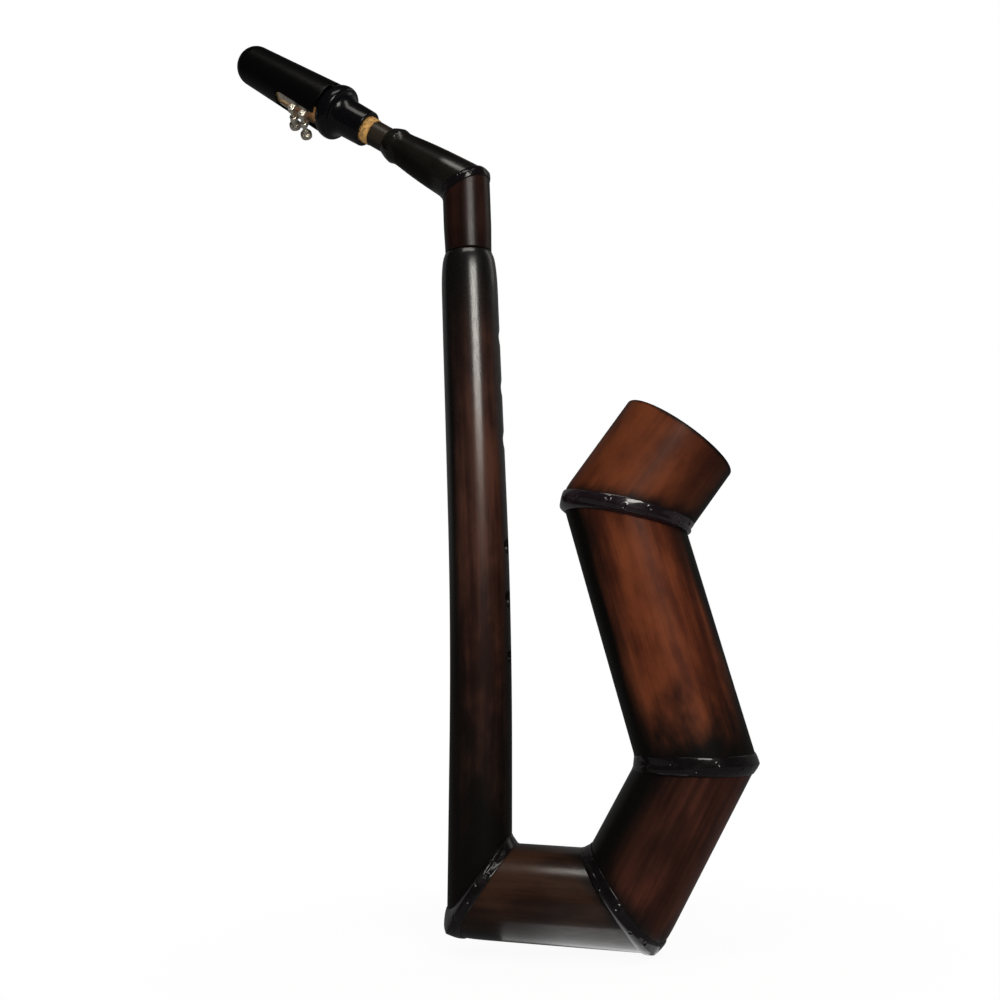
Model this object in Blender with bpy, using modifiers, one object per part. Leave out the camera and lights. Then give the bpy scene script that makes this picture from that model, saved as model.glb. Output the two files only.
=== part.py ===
"""Bamboo saxophone with an alto-size mouthpiece, built piece by piece.

Frame: +Z runs up the body tube, the mouthpiece points to -X and the bell opens on the +X side.
The origin is on the body's axis, between the upper and the lower group of finger holes, where
the instrument is held. The tubes after the foot lie in one upright plane that is turned a little
to the front, -Y. The neck is swivelled on the body, as a player sets it.

Lengths are written in millimetres and multiplied by MM. Angles are in degrees.
"""
import math

import bmesh
import bpy
from mathutils import Matrix, Vector

MM = 0.001

# Clearances
GAP = 0.3 * MM                    # between neighbouring solids that touch on the real thing
COLLAR_STEP = 0.2 * MM            # more room over the edge of the wider tube's end

# Facets
TUBE_STEPS = 32
COLLAR_STEPS = 28
HOLE_STEPS = 16
SMALL_STEPS = 16
OVERRUN = 40 * MM                 # tubes are made longer than needed and then cut to their mitres
CUT_PAST = 3 * MM                 # cutters reach this far past what they cut
CUT_SIZE = 200 * MM

# Body tube
BODY_TOP_Z = 147.5 * MM
BODY_RIM_RADIUS = 14.6 * MM
BODY_SHOULDER_RADIUS = 17.05 * MM
BODY_SHOULDER_LENGTH = 26 * MM
BODY_FOOT_RADIUS = 18.6 * MM
BODY_BORE_RADIUS = 12.0 * MM
BODY_FOOT_BORE_RADIUS = 13.8 * MM
SOCKET_RADIUS = 12.6 * MM         # bored for the neck's corked tenon
SOCKET_DEPTH = 40 * MM
FOOT_Z = -229.2 * MM              # height of the foot mitre's centre
BEND_START_Z = -15 * MM           # the bamboo is straight above this height
BEND_END_Z = -150 * MM            # and straight again below this one
BEND_ANGLE = 2.4

# Finger holes: height, diameter, and angle from +X towards the front (-Y)
FINGER_HOLES = (
    (94.4 * MM, 7.4 * MM, 0.0),
    (63.3 * MM, 7.4 * MM, 0.0),
    (31.6 * MM, 7.8 * MM, 0.0),
    (-32.3 * MM, 7.4 * MM, 16.5),
    (-63.6 * MM, 8.8 * MM, 16.5),
    (-97.1 * MM, 6.0 * MM, 16.5),
)
THUMB_HOLE = (79.0 * MM, 7.4 * MM, 212.0)
DISH_DEPTH = 1.5 * MM             # each hole is dished for the fingertip
HOLE_REACH = 12 * MM

# Tubes after the foot: length between mitre centres, direction from +Z towards the bell's side,
# radii at both ends, wall. The bell also leans back from the plane of the other tubes.
BELL_PLANE_TURN = 12.5
BOW_LENGTH = 83.2 * MM
BOW_ANGLE = 93.9
BOW_START_RADIUS = 27.2 * MM
BOW_END_RADIUS = 27.3 * MM
BOW_WALL = 5.0 * MM
LOWER_LENGTH = 87.7 * MM
LOWER_ANGLE = 30.5
LOWER_START_RADIUS = 30.7 * MM
LOWER_END_RADIUS = 29.8 * MM
LOWER_WALL = 5.2 * MM
UPPER_LENGTH = 145.6 * MM
UPPER_ANGLE = -13.7
UPPER_START_RADIUS = 32.6 * MM
UPPER_END_RADIUS = 31.9 * MM
UPPER_WALL = 5.2 * MM
BELL_LENGTH = 56.7 * MM
BELL_ANGLE = 37.3
BELL_LEAN = 9.0
BELL_RADIUS = 36.2 * MM
BELL_WALL = 5.0 * MM
BELL_EDGE = 1.2 * MM              # rounding of the rim

# Collars wound over the mitres: half their width across the seam, how far the tubes' outer
# corner is filed down beneath them, and how far the saw cut is swung from the corners' line
COLLAR_HEIGHT = 1.5 * MM
COLLAR_SWELL = 1.1 * MM           # more height on the outside of the turn
COLLAR_PINCH = 0.35               # narrower by this share on the inside of the turn
COLLAR_EDGE = 0.8 * MM
COLLAR_LEDGE = 0.15               # extra width per length of step between unlike tubes
COLLAR_SEAT = 0.6 * MM
FACET_DEPTH = 1.0 / math.cos(math.pi / COLLAR_STEPS) - 1.0   # of a collar's facets, per radius
FOOT_COLLAR = (3.9 * MM, 5.0 * MM, 0.0)
BOW_COLLAR = (4.2 * MM, 2.9 * MM, 0.0)
KNEE_COLLAR = (5.2 * MM, 1.2 * MM, 0.0)
BELL_COLLAR = (4.2 * MM, 3.9 * MM, 4.5)
ELBOW_COLLAR = (3.0 * MM, 2.9 * MM, 0.0)

# Neck
NECK_TURN = 18.0                  # swivel of the neck, mouthpiece away from the front
TENON_LENGTH = 37 * MM
TENON_RADIUS = 10.6 * MM
TENON_CORK_WALL = 1.4 * MM
TENON_CORK_LENGTH = 27 * MM
TENON_CORK_INSET = 4 * MM         # bare tenon left above and below the cork
NECK_SEAT_RADIUS = 14.1 * MM
NECK_LOWER_RADIUS = 14.5 * MM
NECK_SEAT_TAPER = 18 * MM         # length over which the seat's radius passes into the tube's
NECK_BORE_RADIUS = 7.6 * MM
ELBOW_Z = 191.0 * MM
NECK_RISE = 35.6                  # the upper neck's angle above the horizontal
NECK_UPPER_RADIUS = 14.0 * MM
NODE_PLACE = 54.5 * MM            # distance of the bamboo node from the elbow's centre
NODE_RADIUS = 11.2 * MM
NODE_NECK_RADIUS = 10.6 * MM
NODE_WAIST = 6 * MM               # from the node back to the narrowest place
NODE_RIDGE = 1.3 * MM             # half the ridge's length
NODE_EDGE = 0.2 * MM              # by which the ridge falls off on both sides
NECK_UPPER_LENGTH = 61.5 * MM
NECK_END_RADIUS = 9.3 * MM
NECK_END_EDGE = 0.6 * MM
PIPE_RADIUS = 8.1 * MM
PIPE_SOCKET_DEPTH = 22 * MM
PIPE_SHOULDER = 73.4 * MM         # where the pipe is turned down for the cork
PIPE_TENON_RADIUS = 6.9 * MM
PIPE_BORE_RADIUS = 5.2 * MM
PIPE_LENGTH = 104 * MM
CORK_RADIUS = 8.5 * MM
CORK_LENGTH = 29.5 * MM
CORK_EDGE = 0.6 * MM

# Mouthpiece, measured along its own axis from the open end of the shank
SHANK_PLACE = 79.0 * MM           # distance of the shank's end from the elbow's centre
MOUTHPIECE_TURN = 27.0            # the reed side is turned this far towards the front
MOUTHPIECE_LENGTH = 90.0 * MM
MOUTHPIECE_RADIUS = 12.5 * MM
MOUTHPIECE_BORE_DEPTH = 31 * MM
CHAMBER_RADIUS = 7.4 * MM
SHANK_RADIUS = 11.4 * MM
SHANK_EDGE = 1.1 * MM
SHANK_LENGTH = 14.0 * MM
SHANK_SHOULDER_RADIUS = 11.8 * MM # where the concave sweep starts
COLLAR_CREST_PLACE = 26.5 * MM
COLLAR_CREST_RADIUS = 17.7 * MM
COLLAR_FRONT_PLACE = 32.4 * MM
CREST_FLAT = 1 * MM               # of the crest, towards the tip
CREST_BACK = 2.4 * MM             # of the crest, towards the shank
CREST_EDGE = 0.5 * MM
SWEEP_SPACE = 4.5 * MM            # from the sweep's end to the crest, along the axis
SWEEP_LIP = 1.5 * MM              # and across it
TABLE_DEPTH = 9.2 * MM            # from the axis to the flat table
TABLE_START = 32.4 * MM           # in front of the round collar
FACING_START = 67 * MM
FACING_OPENING = 1.7 * MM
BEAK_START = 49 * MM
BEAK_TIP_THICKNESS = 1.6 * MM
BEAK_TIP_HALF_WIDTH = 8.9 * MM
WINDOW_START = 56 * MM
WINDOW_HALF_WIDTH = 5.8 * MM
WINDOW_FLAT = 5 * MM              # of its roof, before the baffle starts
WINDOW_ROOF = 5.4 * MM            # from the axis to that flat roof
TIP_RAIL = 2.2 * MM
TIP_WALL = 0.8 * MM               # over the window's end
TIP_STEP = 0.6 * MM               # from the tip rail's face to the baffle
BAFFLE_WALL = 2.4 * MM
CHAMBER_OVERLAP = 2 * MM          # by which the chamber reaches into the window

# Reed
REED_RADIUS = 12.8 * MM
REED_HALF_WIDTH = 7.4 * MM
REED_HEEL = 33.4 * MM             # leaves room to set the reed further back
REED_VAMP_START = 57 * MM
REED_VAMP = ((0.25, 1.5 * MM), (0.6, 0.85 * MM))   # share of the vamp's length, thickness there
REED_TIP_THICKNESS = 0.35 * MM

# Ligature. Its screws lie across the reed, heads on the side away from the front.
BAND_START = 37.0 * MM
BAND_LENGTH = 26.5 * MM
BAND_WALL = 0.55 * MM
BAND_HALF_OPENING = 2.3 * MM
SCREW_PLACES = {"rear": 39.6 * MM, "front": 48.5 * MM}
SCREW_DEPTH = 17.6 * MM           # of their axes from the mouthpiece's axis
SCREW_RADIUS = 1.25 * MM
SCREW_OUT = {"rear": 3.0 * MM, "front": 0.0}
BARREL_RADIUS = 2.4 * MM
BARREL_LENGTH = 3.6 * MM
BARREL_FOOT = 3.4 * MM
SCREW_TAIL = 0.6 * MM             # past the near barrels
KNOB_STEM_RADIUS = 1.9 * MM
KNOB_STEM_LENGTH = 2.3 * MM
KNOB_RADIUS = 3.7 * MM
KNOB_LENGTH = 3.6 * MM
KNOB_EDGE = 0.7 * MM

# Cap
CAP_OPEN_RADIUS = 16.2 * MM
CAP_END_RADIUS = 13.1 * MM
CAP_DOME_LENGTH = 12 * MM
CAP_PLACE = 107.8 * MM            # its closed end, from the open end of the shank
CAP_WALL = 0.8 * MM
SLOT_HALF_WIDTH = 7.0 * MM
SLOT_END = 65.5 * MM
SLOT_CORNER = 4 * MM
SLOT_FLOOR = 2 * MM               # from the axis to the slot cutter's inner face

# Materials: colour, roughness, metallic
FINISHES = {
    "dark_bamboo": ((0.030, 0.016, 0.010), 0.30, 0.0),
    "brown_bamboo": ((0.105, 0.034, 0.014), 0.30, 0.0),
    "collar_lacquer": ((0.008, 0.007, 0.006), 0.22, 0.0),
    "cork": ((0.36, 0.20, 0.075), 0.85, 0.0),
    "hard_rubber": ((0.006, 0.006, 0.007), 0.18, 0.0),
    "cane": ((0.45, 0.28, 0.12), 0.55, 0.0),
    "bright_nickel": ((0.72, 0.69, 0.62), 0.16, 1.0),
    "cap_plastic": ((0.007, 0.007, 0.007), 0.34, 0.0),
}

FRONT = Vector((0.0, -1.0, 0.0))


def clear_scene():
    """Remove the objects of whatever scene is open."""
    for obj in list(bpy.data.objects):
        bpy.data.objects.remove(obj, do_unlink=True)


def new_collection(name):
    collection = bpy.data.collections.new(name)
    bpy.context.scene.collection.children.link(collection)
    return collection


def material(name):
    """Principled material of a finish, made once."""
    found = bpy.data.materials.get(name)
    if found:
        return found
    colour, roughness, metallic = FINISHES[name]
    made = bpy.data.materials.new(name)
    made.use_nodes = True
    shader = made.node_tree.nodes["Principled BSDF"]
    shader.inputs["Base Color"].default_value = (*colour, 1.0)
    shader.inputs["Roughness"].default_value = roughness
    shader.inputs["Metallic"].default_value = metallic
    return made


# Directions and places along the tubes

def along(angle, turn=0.0, lean=0.0):
    """Unit vector at an angle from +Z towards +X, in an upright plane turned to the front.

    lean tips the vector out of that plane, away from the front.
    """
    rise, yaw, tip = math.radians(angle), math.radians(turn), math.radians(lean)
    outward = Vector((math.cos(yaw), -math.sin(yaw), 0.0))
    away = Vector((math.sin(yaw), math.cos(yaw), 0.0))
    upright = Vector((0.0, 0.0, math.cos(rise))) + outward * math.sin(rise)
    return upright * math.cos(tip) + away * math.sin(tip)


def body_centre_x(z):
    """Sideways place of the body's axis: straight, then a gentle arc, then straight again."""
    slope = math.tan(math.radians(BEND_ANGLE))
    bend = BEND_START_Z - BEND_END_Z
    depth = BEND_START_Z - z
    if depth <= 0.0:
        return 0.0
    if depth <= bend:
        return -slope * depth * depth / (2.0 * bend)
    return -slope * (depth - bend / 2.0)


BODY_DOWN = along(180.0 + BEND_ANGLE)
BOW_WAY = along(BOW_ANGLE, BELL_PLANE_TURN)
LOWER_WAY = along(LOWER_ANGLE, BELL_PLANE_TURN)
UPPER_WAY = along(UPPER_ANGLE, BELL_PLANE_TURN)
BELL_WAY = along(BELL_ANGLE, BELL_PLANE_TURN, BELL_LEAN)
NECK_ANGLE = NECK_RISE - 90.0
NECK_WAY = along(NECK_ANGLE)

FOOT = Vector((body_centre_x(FOOT_Z), 0.0, FOOT_Z))
BOW_END = FOOT + BOW_WAY * BOW_LENGTH
KNEE = BOW_END + LOWER_WAY * LOWER_LENGTH
THROAT = KNEE + UPPER_WAY * UPPER_LENGTH
ELBOW = Vector((0.0, 0.0, ELBOW_Z))


class Mitre:
    """The joint of two round tubes of unlike radius whose axes meet at a centre.

    arriving and leaving are the path's directions before and after the joint. Both tubes are cut
    by one plane through the centre and through both corners, where their outlines cross, or by
    that plane swung about the centre. The outer corner is filed flat, by the depth called trim.
    """

    def __init__(self, centre, arriving, leaving, radius_in, radius_out, size):
        self.centre = centre
        self.back = -arriving
        self.ahead = leaving
        self.radius_in = radius_in
        self.radius_out = radius_out
        self.half_width, self.trim, swing = size
        self.sideways = arriving.cross(leaving).normalized()
        if self.sideways.dot(FRONT) < 0.0:
            self.sideways.negate()
        self.normal_in = self.outer_normal(arriving, arriving - leaving)
        self.normal_out = self.outer_normal(leaving, arriving - leaving)
        bend = self.normal_in.dot(self.normal_out)
        share_in = (radius_in - radius_out * bend) / (1.0 - bend * bend)
        share_out = (radius_out - radius_in * bend) / (1.0 - bend * bend)
        corner = self.normal_in * share_in + self.normal_out * share_out
        self.outward = Matrix.Rotation(math.radians(swing), 3, self.sideways) @ corner.normalized()
        self.reach_in = radius_in / self.normal_in.dot(self.outward)
        self.reach_out = radius_out / self.normal_out.dot(self.outward)
        self.reach = max(self.reach_in, self.reach_out)
        plane = self.outward.cross(self.sideways)
        self.plane = plane if plane.dot(arriving + leaving) > 0.0 else -plane

    def outer_normal(self, direction, outside):
        """Normal of a tube's outline on the outer side of the turn."""
        normal = direction.cross(self.sideways).normalized()
        return normal if normal.dot(outside) > 0.0 else -normal

    def drop(self, across):
        """How far the filed corner lies below the seam, at a cosine of the angle round it."""
        return max(0.0, self.trim - self.reach * (1.0 - across))


FOOT_MITRE = Mitre(FOOT, BODY_DOWN, BOW_WAY, BODY_FOOT_RADIUS, BOW_START_RADIUS, FOOT_COLLAR)
BOW_MITRE = Mitre(BOW_END, BOW_WAY, LOWER_WAY, BOW_END_RADIUS, LOWER_START_RADIUS, BOW_COLLAR)
KNEE_MITRE = Mitre(KNEE, LOWER_WAY, UPPER_WAY, LOWER_END_RADIUS, UPPER_START_RADIUS, KNEE_COLLAR)
THROAT_MITRE = Mitre(THROAT, UPPER_WAY, BELL_WAY, UPPER_END_RADIUS, BELL_RADIUS, BELL_COLLAR)
ELBOW_MITRE = Mitre(ELBOW, along(0.0), NECK_WAY, NECK_LOWER_RADIUS, NECK_UPPER_RADIUS, ELBOW_COLLAR)


# Building blocks

class Workshop:
    """Makes objects in the part's collection and keeps the cutters apart."""

    def __init__(self):
        self.parts = new_collection("bamboo_saxophone")
        self.cutters = new_collection("cutters")

    def guide(self, name, location, rotation, parent=None):
        """An empty that carries pieces which move or point together."""
        empty = bpy.data.objects.new(name, None)
        empty.location = location
        empty.rotation_euler = rotation
        empty.parent = parent
        self.parts.objects.link(empty)
        return empty

    def piece(self, name, mesh, finish, parent=None):
        """A named piece of the instrument with its own material."""
        obj = bpy.data.objects.new(name, mesh)
        obj.parent = parent
        mesh.materials.clear()
        mesh.materials.append(material(finish))
        self.parts.objects.link(obj)
        return obj

    def cutter(self, name, mesh, location=(0.0, 0.0, 0.0), rotation=(0.0, 0.0, 0.0), parent=None):
        """A hidden solid that is taken away from a piece."""
        obj = bpy.data.objects.new(name, mesh)
        obj.location = location
        obj.rotation_euler = rotation
        obj.parent = parent
        obj.hide_render = True
        obj.display_type = "WIRE"
        self.cutters.objects.link(obj)
        return obj

    def half_space(self, name, point, normal, parent=None):
        """A large box whose face lies on a plane; it stands on the side that the normal points to."""
        turn = Vector(normal).to_track_quat("Z", "Y").to_euler()
        place = Vector(point) + Vector(normal).normalized() * CUT_SIZE / 2.0
        return self.cutter(name, box_mesh(name, CUT_SIZE, CUT_SIZE, CUT_SIZE), place, turn, parent)


def mesh_of(name, builder):
    """Run a bmesh builder and return its mesh."""
    grid = bmesh.new()
    builder(grid)
    mesh = bpy.data.meshes.new(name)
    grid.to_mesh(mesh)
    grid.free()
    return mesh


def box_mesh(name, x, y, z):
    """A box centred on the origin."""
    def build(grid):
        bmesh.ops.create_cube(grid, size=1.0, matrix=Matrix.Diagonal((x, y, z, 1.0)))
    return mesh_of(name, build)


def rod_mesh(name, radius, length, steps=SMALL_STEPS):
    """A cylinder along Z, centred on the origin."""
    def build(grid):
        bmesh.ops.create_cone(grid, cap_ends=True, segments=steps,
                              radius1=radius, radius2=radius, depth=length)
    return mesh_of(name, build)


def prism_mesh(name, outline, low, high):
    """An outline of (x, z) points, extruded along Y."""
    def build(grid):
        face = grid.faces.new([grid.verts.new((x, low, z)) for x, z in outline])
        raised = bmesh.ops.extrude_face_region(grid, geom=[face])
        moved = [item for item in raised["geom"] if isinstance(item, bmesh.types.BMVert)]
        bmesh.ops.translate(grid, verts=moved, vec=(0.0, high - low, 0.0))
        bmesh.ops.recalc_face_normals(grid, faces=grid.faces)
    return mesh_of(name, build)


def outline_mesh(name, points, closed=True):
    """A turned profile of (radius, z) points as edges in the plane X Z."""
    count = len(points)
    edges = [(index, (index + 1) % count) for index in range(count if closed else count - 1)]
    mesh = bpy.data.meshes.new(name)
    mesh.from_pydata([(radius, 0.0, z) for radius, z in points], edges, [])
    return mesh


def add_screw(obj, steps):
    """Turn the object's profile round its own Z axis."""
    screw = obj.modifiers.new("turned", "SCREW")
    screw.axis = "Z"
    screw.angle = 2.0 * math.pi
    screw.steps = steps
    screw.render_steps = steps
    screw.use_merge_vertices = True
    screw.merge_threshold = 0.00001
    screw.use_smooth_shade = True


def cut(obj, tool):
    """Take a tool away from a piece with the exact solver."""
    boolean = obj.modifiers.new("cut_" + tool.name, "BOOLEAN")
    boolean.operation = "DIFFERENCE"
    boolean.solver = "EXACT"
    boolean.object = tool


def set_mesh_from_modifiers(obj):
    """Replace the object's mesh by what its modifiers make of it."""
    bpy.context.view_layer.update()
    evaluated = obj.evaluated_get(bpy.context.evaluated_depsgraph_get())
    mesh = bpy.data.meshes.new_from_object(evaluated)
    obj.modifiers.clear()
    obj.data = mesh


def shade(obj):
    """Smooth shading with sharp creases."""
    obj.data.shade_smooth()
    obj.data.set_sharp_from_angle(angle=math.radians(35.0))


def blend(start, end, share):
    return start + (end - start) * share


def arc(centre_r, centre_z, size_r, size_z, start, end, count):
    """Points (radius, z) on an ellipse from one angle to another, ends included."""
    points = []
    for index in range(count + 1):
        turn = math.radians(blend(start, end, index / count))
        points.append((centre_r + size_r * math.cos(turn), centre_z + size_z * math.sin(turn)))
    return points


# Body and bell

def build_body_tube(shop):
    """The long tube: rounded shoulder, bored socket, natural bend, dished holes, mitred foot."""
    bottom = FOOT_Z - OVERRUN
    shoulder_z = BODY_TOP_Z - BODY_SHOULDER_LENGTH
    outer = arc(BODY_RIM_RADIUS, shoulder_z, BODY_SHOULDER_RADIUS - BODY_RIM_RADIUS,
                BODY_SHOULDER_LENGTH, 90.0, 0.0, 5)
    rows = 9
    for row in range(1, rows + 1):
        share = row / rows
        outer.append((blend(BODY_SHOULDER_RADIUS, BODY_FOOT_RADIUS, share), blend(shoulder_z, FOOT_Z, share)))
    outer.append((BODY_FOOT_RADIUS, bottom))
    socket_z = BODY_TOP_Z - SOCKET_DEPTH
    inner = [(BODY_FOOT_BORE_RADIUS, bottom), (BODY_FOOT_BORE_RADIUS, FOOT_Z)]
    for share in (0.75, 0.5, 0.25):
        inner.append((blend(BODY_BORE_RADIUS, BODY_FOOT_BORE_RADIUS, share), blend(socket_z, FOOT_Z, share)))
    inner += [(BODY_BORE_RADIUS, socket_z), (SOCKET_RADIUS, socket_z), (SOCKET_RADIUS, BODY_TOP_Z)]
    body = shop.piece("body_tube", outline_mesh("body_tube", outer + inner), "dark_bamboo")
    add_screw(body, TUBE_STEPS)
    set_mesh_from_modifiers(body)
    for vertex in body.data.vertices:
        vertex.co.x += body_centre_x(vertex.co.z)
    cut_at_mitre(shop, body, FOOT_MITRE, 1.0)
    for index, hole in enumerate(FINGER_HOLES):
        cut(body, hole_cutter(shop, f"finger_hole_{index + 1}", *hole))
    cut(body, hole_cutter(shop, "thumb_hole", *THUMB_HOLE))
    shade(body)
    return body


def hole_cutter(shop, name, z, diameter, angle):
    """A drill with a 45 degree dish, standing on the body's surface and pointing at its axis."""
    share = (BODY_TOP_Z - BODY_SHOULDER_LENGTH - z) / (BODY_TOP_Z - BODY_SHOULDER_LENGTH - FOOT_Z)
    surface = blend(BODY_SHOULDER_RADIUS, BODY_FOOT_RADIUS, share)
    radius = diameter / 2.0
    profile = [
        (0.0, surface + DISH_DEPTH),
        (radius + 2.0 * DISH_DEPTH, surface + DISH_DEPTH),
        (radius, surface - DISH_DEPTH),
        (radius, surface - HOLE_REACH),
        (0.0, surface - HOLE_REACH),
    ]
    mesh = outline_mesh(name, profile, closed=False)
    turn = math.radians(angle)
    tool = shop.cutter(name, mesh, (body_centre_x(z), 0.0, z), (0.0, math.pi / 2.0, -turn))
    add_screw(tool, HOLE_STEPS)
    return tool


def build_straight_tube(shop, name, finish, start, way, profile):
    """A turned tube whose profile starts at a mitre centre and runs along a direction."""
    tube = shop.piece(name, outline_mesh(name, profile), finish)
    tube.location = start
    tube.rotation_euler = way.to_track_quat("Z", "Y").to_euler()
    add_screw(tube, TUBE_STEPS)
    return tube


def tapered_profile(length, first, last, wall):
    """Tube between two mitre centres, longer by the overrun at both ends."""
    return [
        (last, length + OVERRUN), (last, length), (blend(first, last, 0.5), length / 2.0),
        (first, 0.0), (first, -OVERRUN),
        (first - wall, -OVERRUN), (first - wall, 0.0), (last - wall, length), (last - wall, length + OVERRUN),
    ]


def cut_at_mitre(shop, tube, mitre, side, parent=None):
    """Cut a tube a gap short of the mitre plane and file its outer corner.

    side is 1 for the tube that arrives at the joint and -1 for the one that leaves it.
    """
    plane = mitre.plane * side
    name = tube.name + ("_end" if side > 0.0 else "_start")
    cut(tube, shop.half_space(name + "_cut", mitre.centre - plane * GAP / 2.0, plane, parent))
    filed = mitre.centre + mitre.outward * (mitre.reach - mitre.trim)
    cut(tube, shop.half_space(name + "_filed", filed, mitre.outward, parent))


def build_bow_and_bell(shop):
    """The tubes after the foot, up to the bell."""
    profile = tapered_profile(BOW_LENGTH, BOW_START_RADIUS, BOW_END_RADIUS, BOW_WALL)
    bow = build_straight_tube(shop, "bow_tube", "dark_bamboo", FOOT, BOW_WAY, profile)
    profile = tapered_profile(LOWER_LENGTH, LOWER_START_RADIUS, LOWER_END_RADIUS, LOWER_WALL)
    lower = build_straight_tube(shop, "bell_tube_lower", "dark_bamboo", BOW_END, LOWER_WAY, profile)
    profile = tapered_profile(UPPER_LENGTH, UPPER_START_RADIUS, UPPER_END_RADIUS, UPPER_WALL)
    upper = build_straight_tube(shop, "bell_tube_upper", "brown_bamboo", KNEE, UPPER_WAY, profile)
    bell = build_straight_tube(shop, "bell", "brown_bamboo", THROAT, BELL_WAY, bell_profile())
    for tube, first, last in (
        (bow, FOOT_MITRE, BOW_MITRE),
        (lower, BOW_MITRE, KNEE_MITRE),
        (upper, KNEE_MITRE, THROAT_MITRE),
        (bell, THROAT_MITRE, None),
    ):
        cut_at_mitre(shop, tube, first, -1.0)
        if last:
            cut_at_mitre(shop, tube, last, 1.0)
        shade(tube)


def bell_profile():
    """The short wide bell with a rounded outer and inner rim edge."""
    inside = BELL_RADIUS - BELL_WALL
    profile = arc(BELL_RADIUS - BELL_EDGE, BELL_LENGTH - BELL_EDGE, BELL_EDGE, BELL_EDGE, 90.0, 0.0, 3)
    profile += [(BELL_RADIUS, 0.0), (BELL_RADIUS, -OVERRUN), (inside, -OVERRUN), (inside, 0.0)]
    profile += arc(inside + BELL_EDGE, BELL_LENGTH - BELL_EDGE, BELL_EDGE, BELL_EDGE, 180.0, 90.0, 3)
    return profile


# Collars

def collar_section(mitre, turn):
    """The closed cross-section of a collar at one angle round the mitre.

    The outside is a quarter ellipse from each tube's surface up to a crest on the mitre plane. The
    inside keeps a gap to both tubes, to the filed corner and to the end of the wider tube.
    """
    across = math.cos(turn)
    sideways = mitre.sideways * math.sin(turn)
    wide = max(mitre.radius_in, mitre.radius_out)
    ledge = abs(mitre.radius_in - mitre.radius_out) * abs(math.sin(turn)) * COLLAR_LEDGE
    height = COLLAR_HEIGHT + COLLAR_SWELL * max(0.0, across) ** 3
    pinch = 1.0 - COLLAR_PINCH * max(0.0, -across) ** 2
    arms = []
    for direction, normal, radius, reach in (
        (mitre.back, mitre.normal_in, mitre.radius_in, mitre.reach_in),
        (mitre.ahead, mitre.normal_out, mitre.radius_out, mitre.reach_out),
    ):
        seam = mitre.centre + mitre.outward * (reach * across) + sideways * radius
        width = pinch * mitre.half_width / abs(direction.dot(mitre.plane))
        width += ledge if radius < wide else 0.0
        arms.append((seam, direction, normal * across + sideways, radius, reach, width))
    outward = (arms[0][2] + arms[1][2]).normalized()
    level = mitre.reach * across - mitre.drop(across)
    crest = mitre.centre + mitre.outward * level + sideways * wide + outward * height
    sides = []
    hollows = []
    for seam, direction, normal, radius, reach, width in arms:
        lift = crest - (seam + normal * height)
        side = []
        for degrees in (0.0, 30.0, 60.0):
            rise = math.sin(math.radians(degrees))
            away = width * math.cos(math.radians(degrees))
            raised = blend(COLLAR_EDGE, height, rise)
            side.append(seam + direction * away + normal * raised + lift * rise * rise)
        sides.append(side)
        room = GAP + FACET_DEPTH * radius
        clear = room + (COLLAR_STEP if radius == wide else 0.0)
        filed = max(0.0, reach * across - mitre.reach + mitre.trim)
        seat = max(COLLAR_SEAT, filed / -direction.dot(mitre.outward))
        level = reach * across * (1.0 + clear / radius)
        if filed > 0.0:
            level = mitre.reach - mitre.trim + clear
        hollows.append((
            seam + direction * width + normal * room,
            seam + direction * seat + normal * clear,
            mitre.centre + mitre.outward * level + sideways * (radius + clear),
        ))
    return sides[0] + [crest] + sides[1][::-1] + list(hollows[1]) + list(hollows[0])[::-1]


def section_turns(mitre):
    """Angles of a collar's sections: even, but for two that move to the filed corner's edges."""
    step = 2.0 * math.pi / COLLAR_STEPS
    turns = [step * index for index in range(COLLAR_STEPS)]
    edge = math.acos(1.0 - mitre.trim / mitre.reach)
    nearest = max(1, round(edge / step))
    turns[nearest] = edge
    turns[-nearest] = -edge
    return turns


def build_collar(shop, name, mitre, parent=None):
    """A collar lofted through its sections round the mitre."""
    def build(grid):
        rings = []
        for turn in section_turns(mitre):
            rings.append([grid.verts.new(point) for point in collar_section(mitre, turn)])
        for ring, following in zip(rings, rings[1:] + rings[:1]):
            for index in range(len(ring)):
                after = (index + 1) % len(ring)
                grid.faces.new((ring[index], ring[after], following[after], following[index]))
        bmesh.ops.recalc_face_normals(grid, faces=grid.faces)
    collar = shop.piece(name, mesh_of(name, build), "collar_lacquer", parent)
    shade(collar)
    return collar


def build_collars(shop):
    """One collar over each mitre of the body and the bell."""
    for name, mitre in (
        ("foot_collar", FOOT_MITRE),
        ("bow_collar", BOW_MITRE),
        ("knee_collar", KNEE_MITRE),
        ("bell_collar", THROAT_MITRE),
    ):
        build_collar(shop, name, mitre)


# Neck

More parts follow.
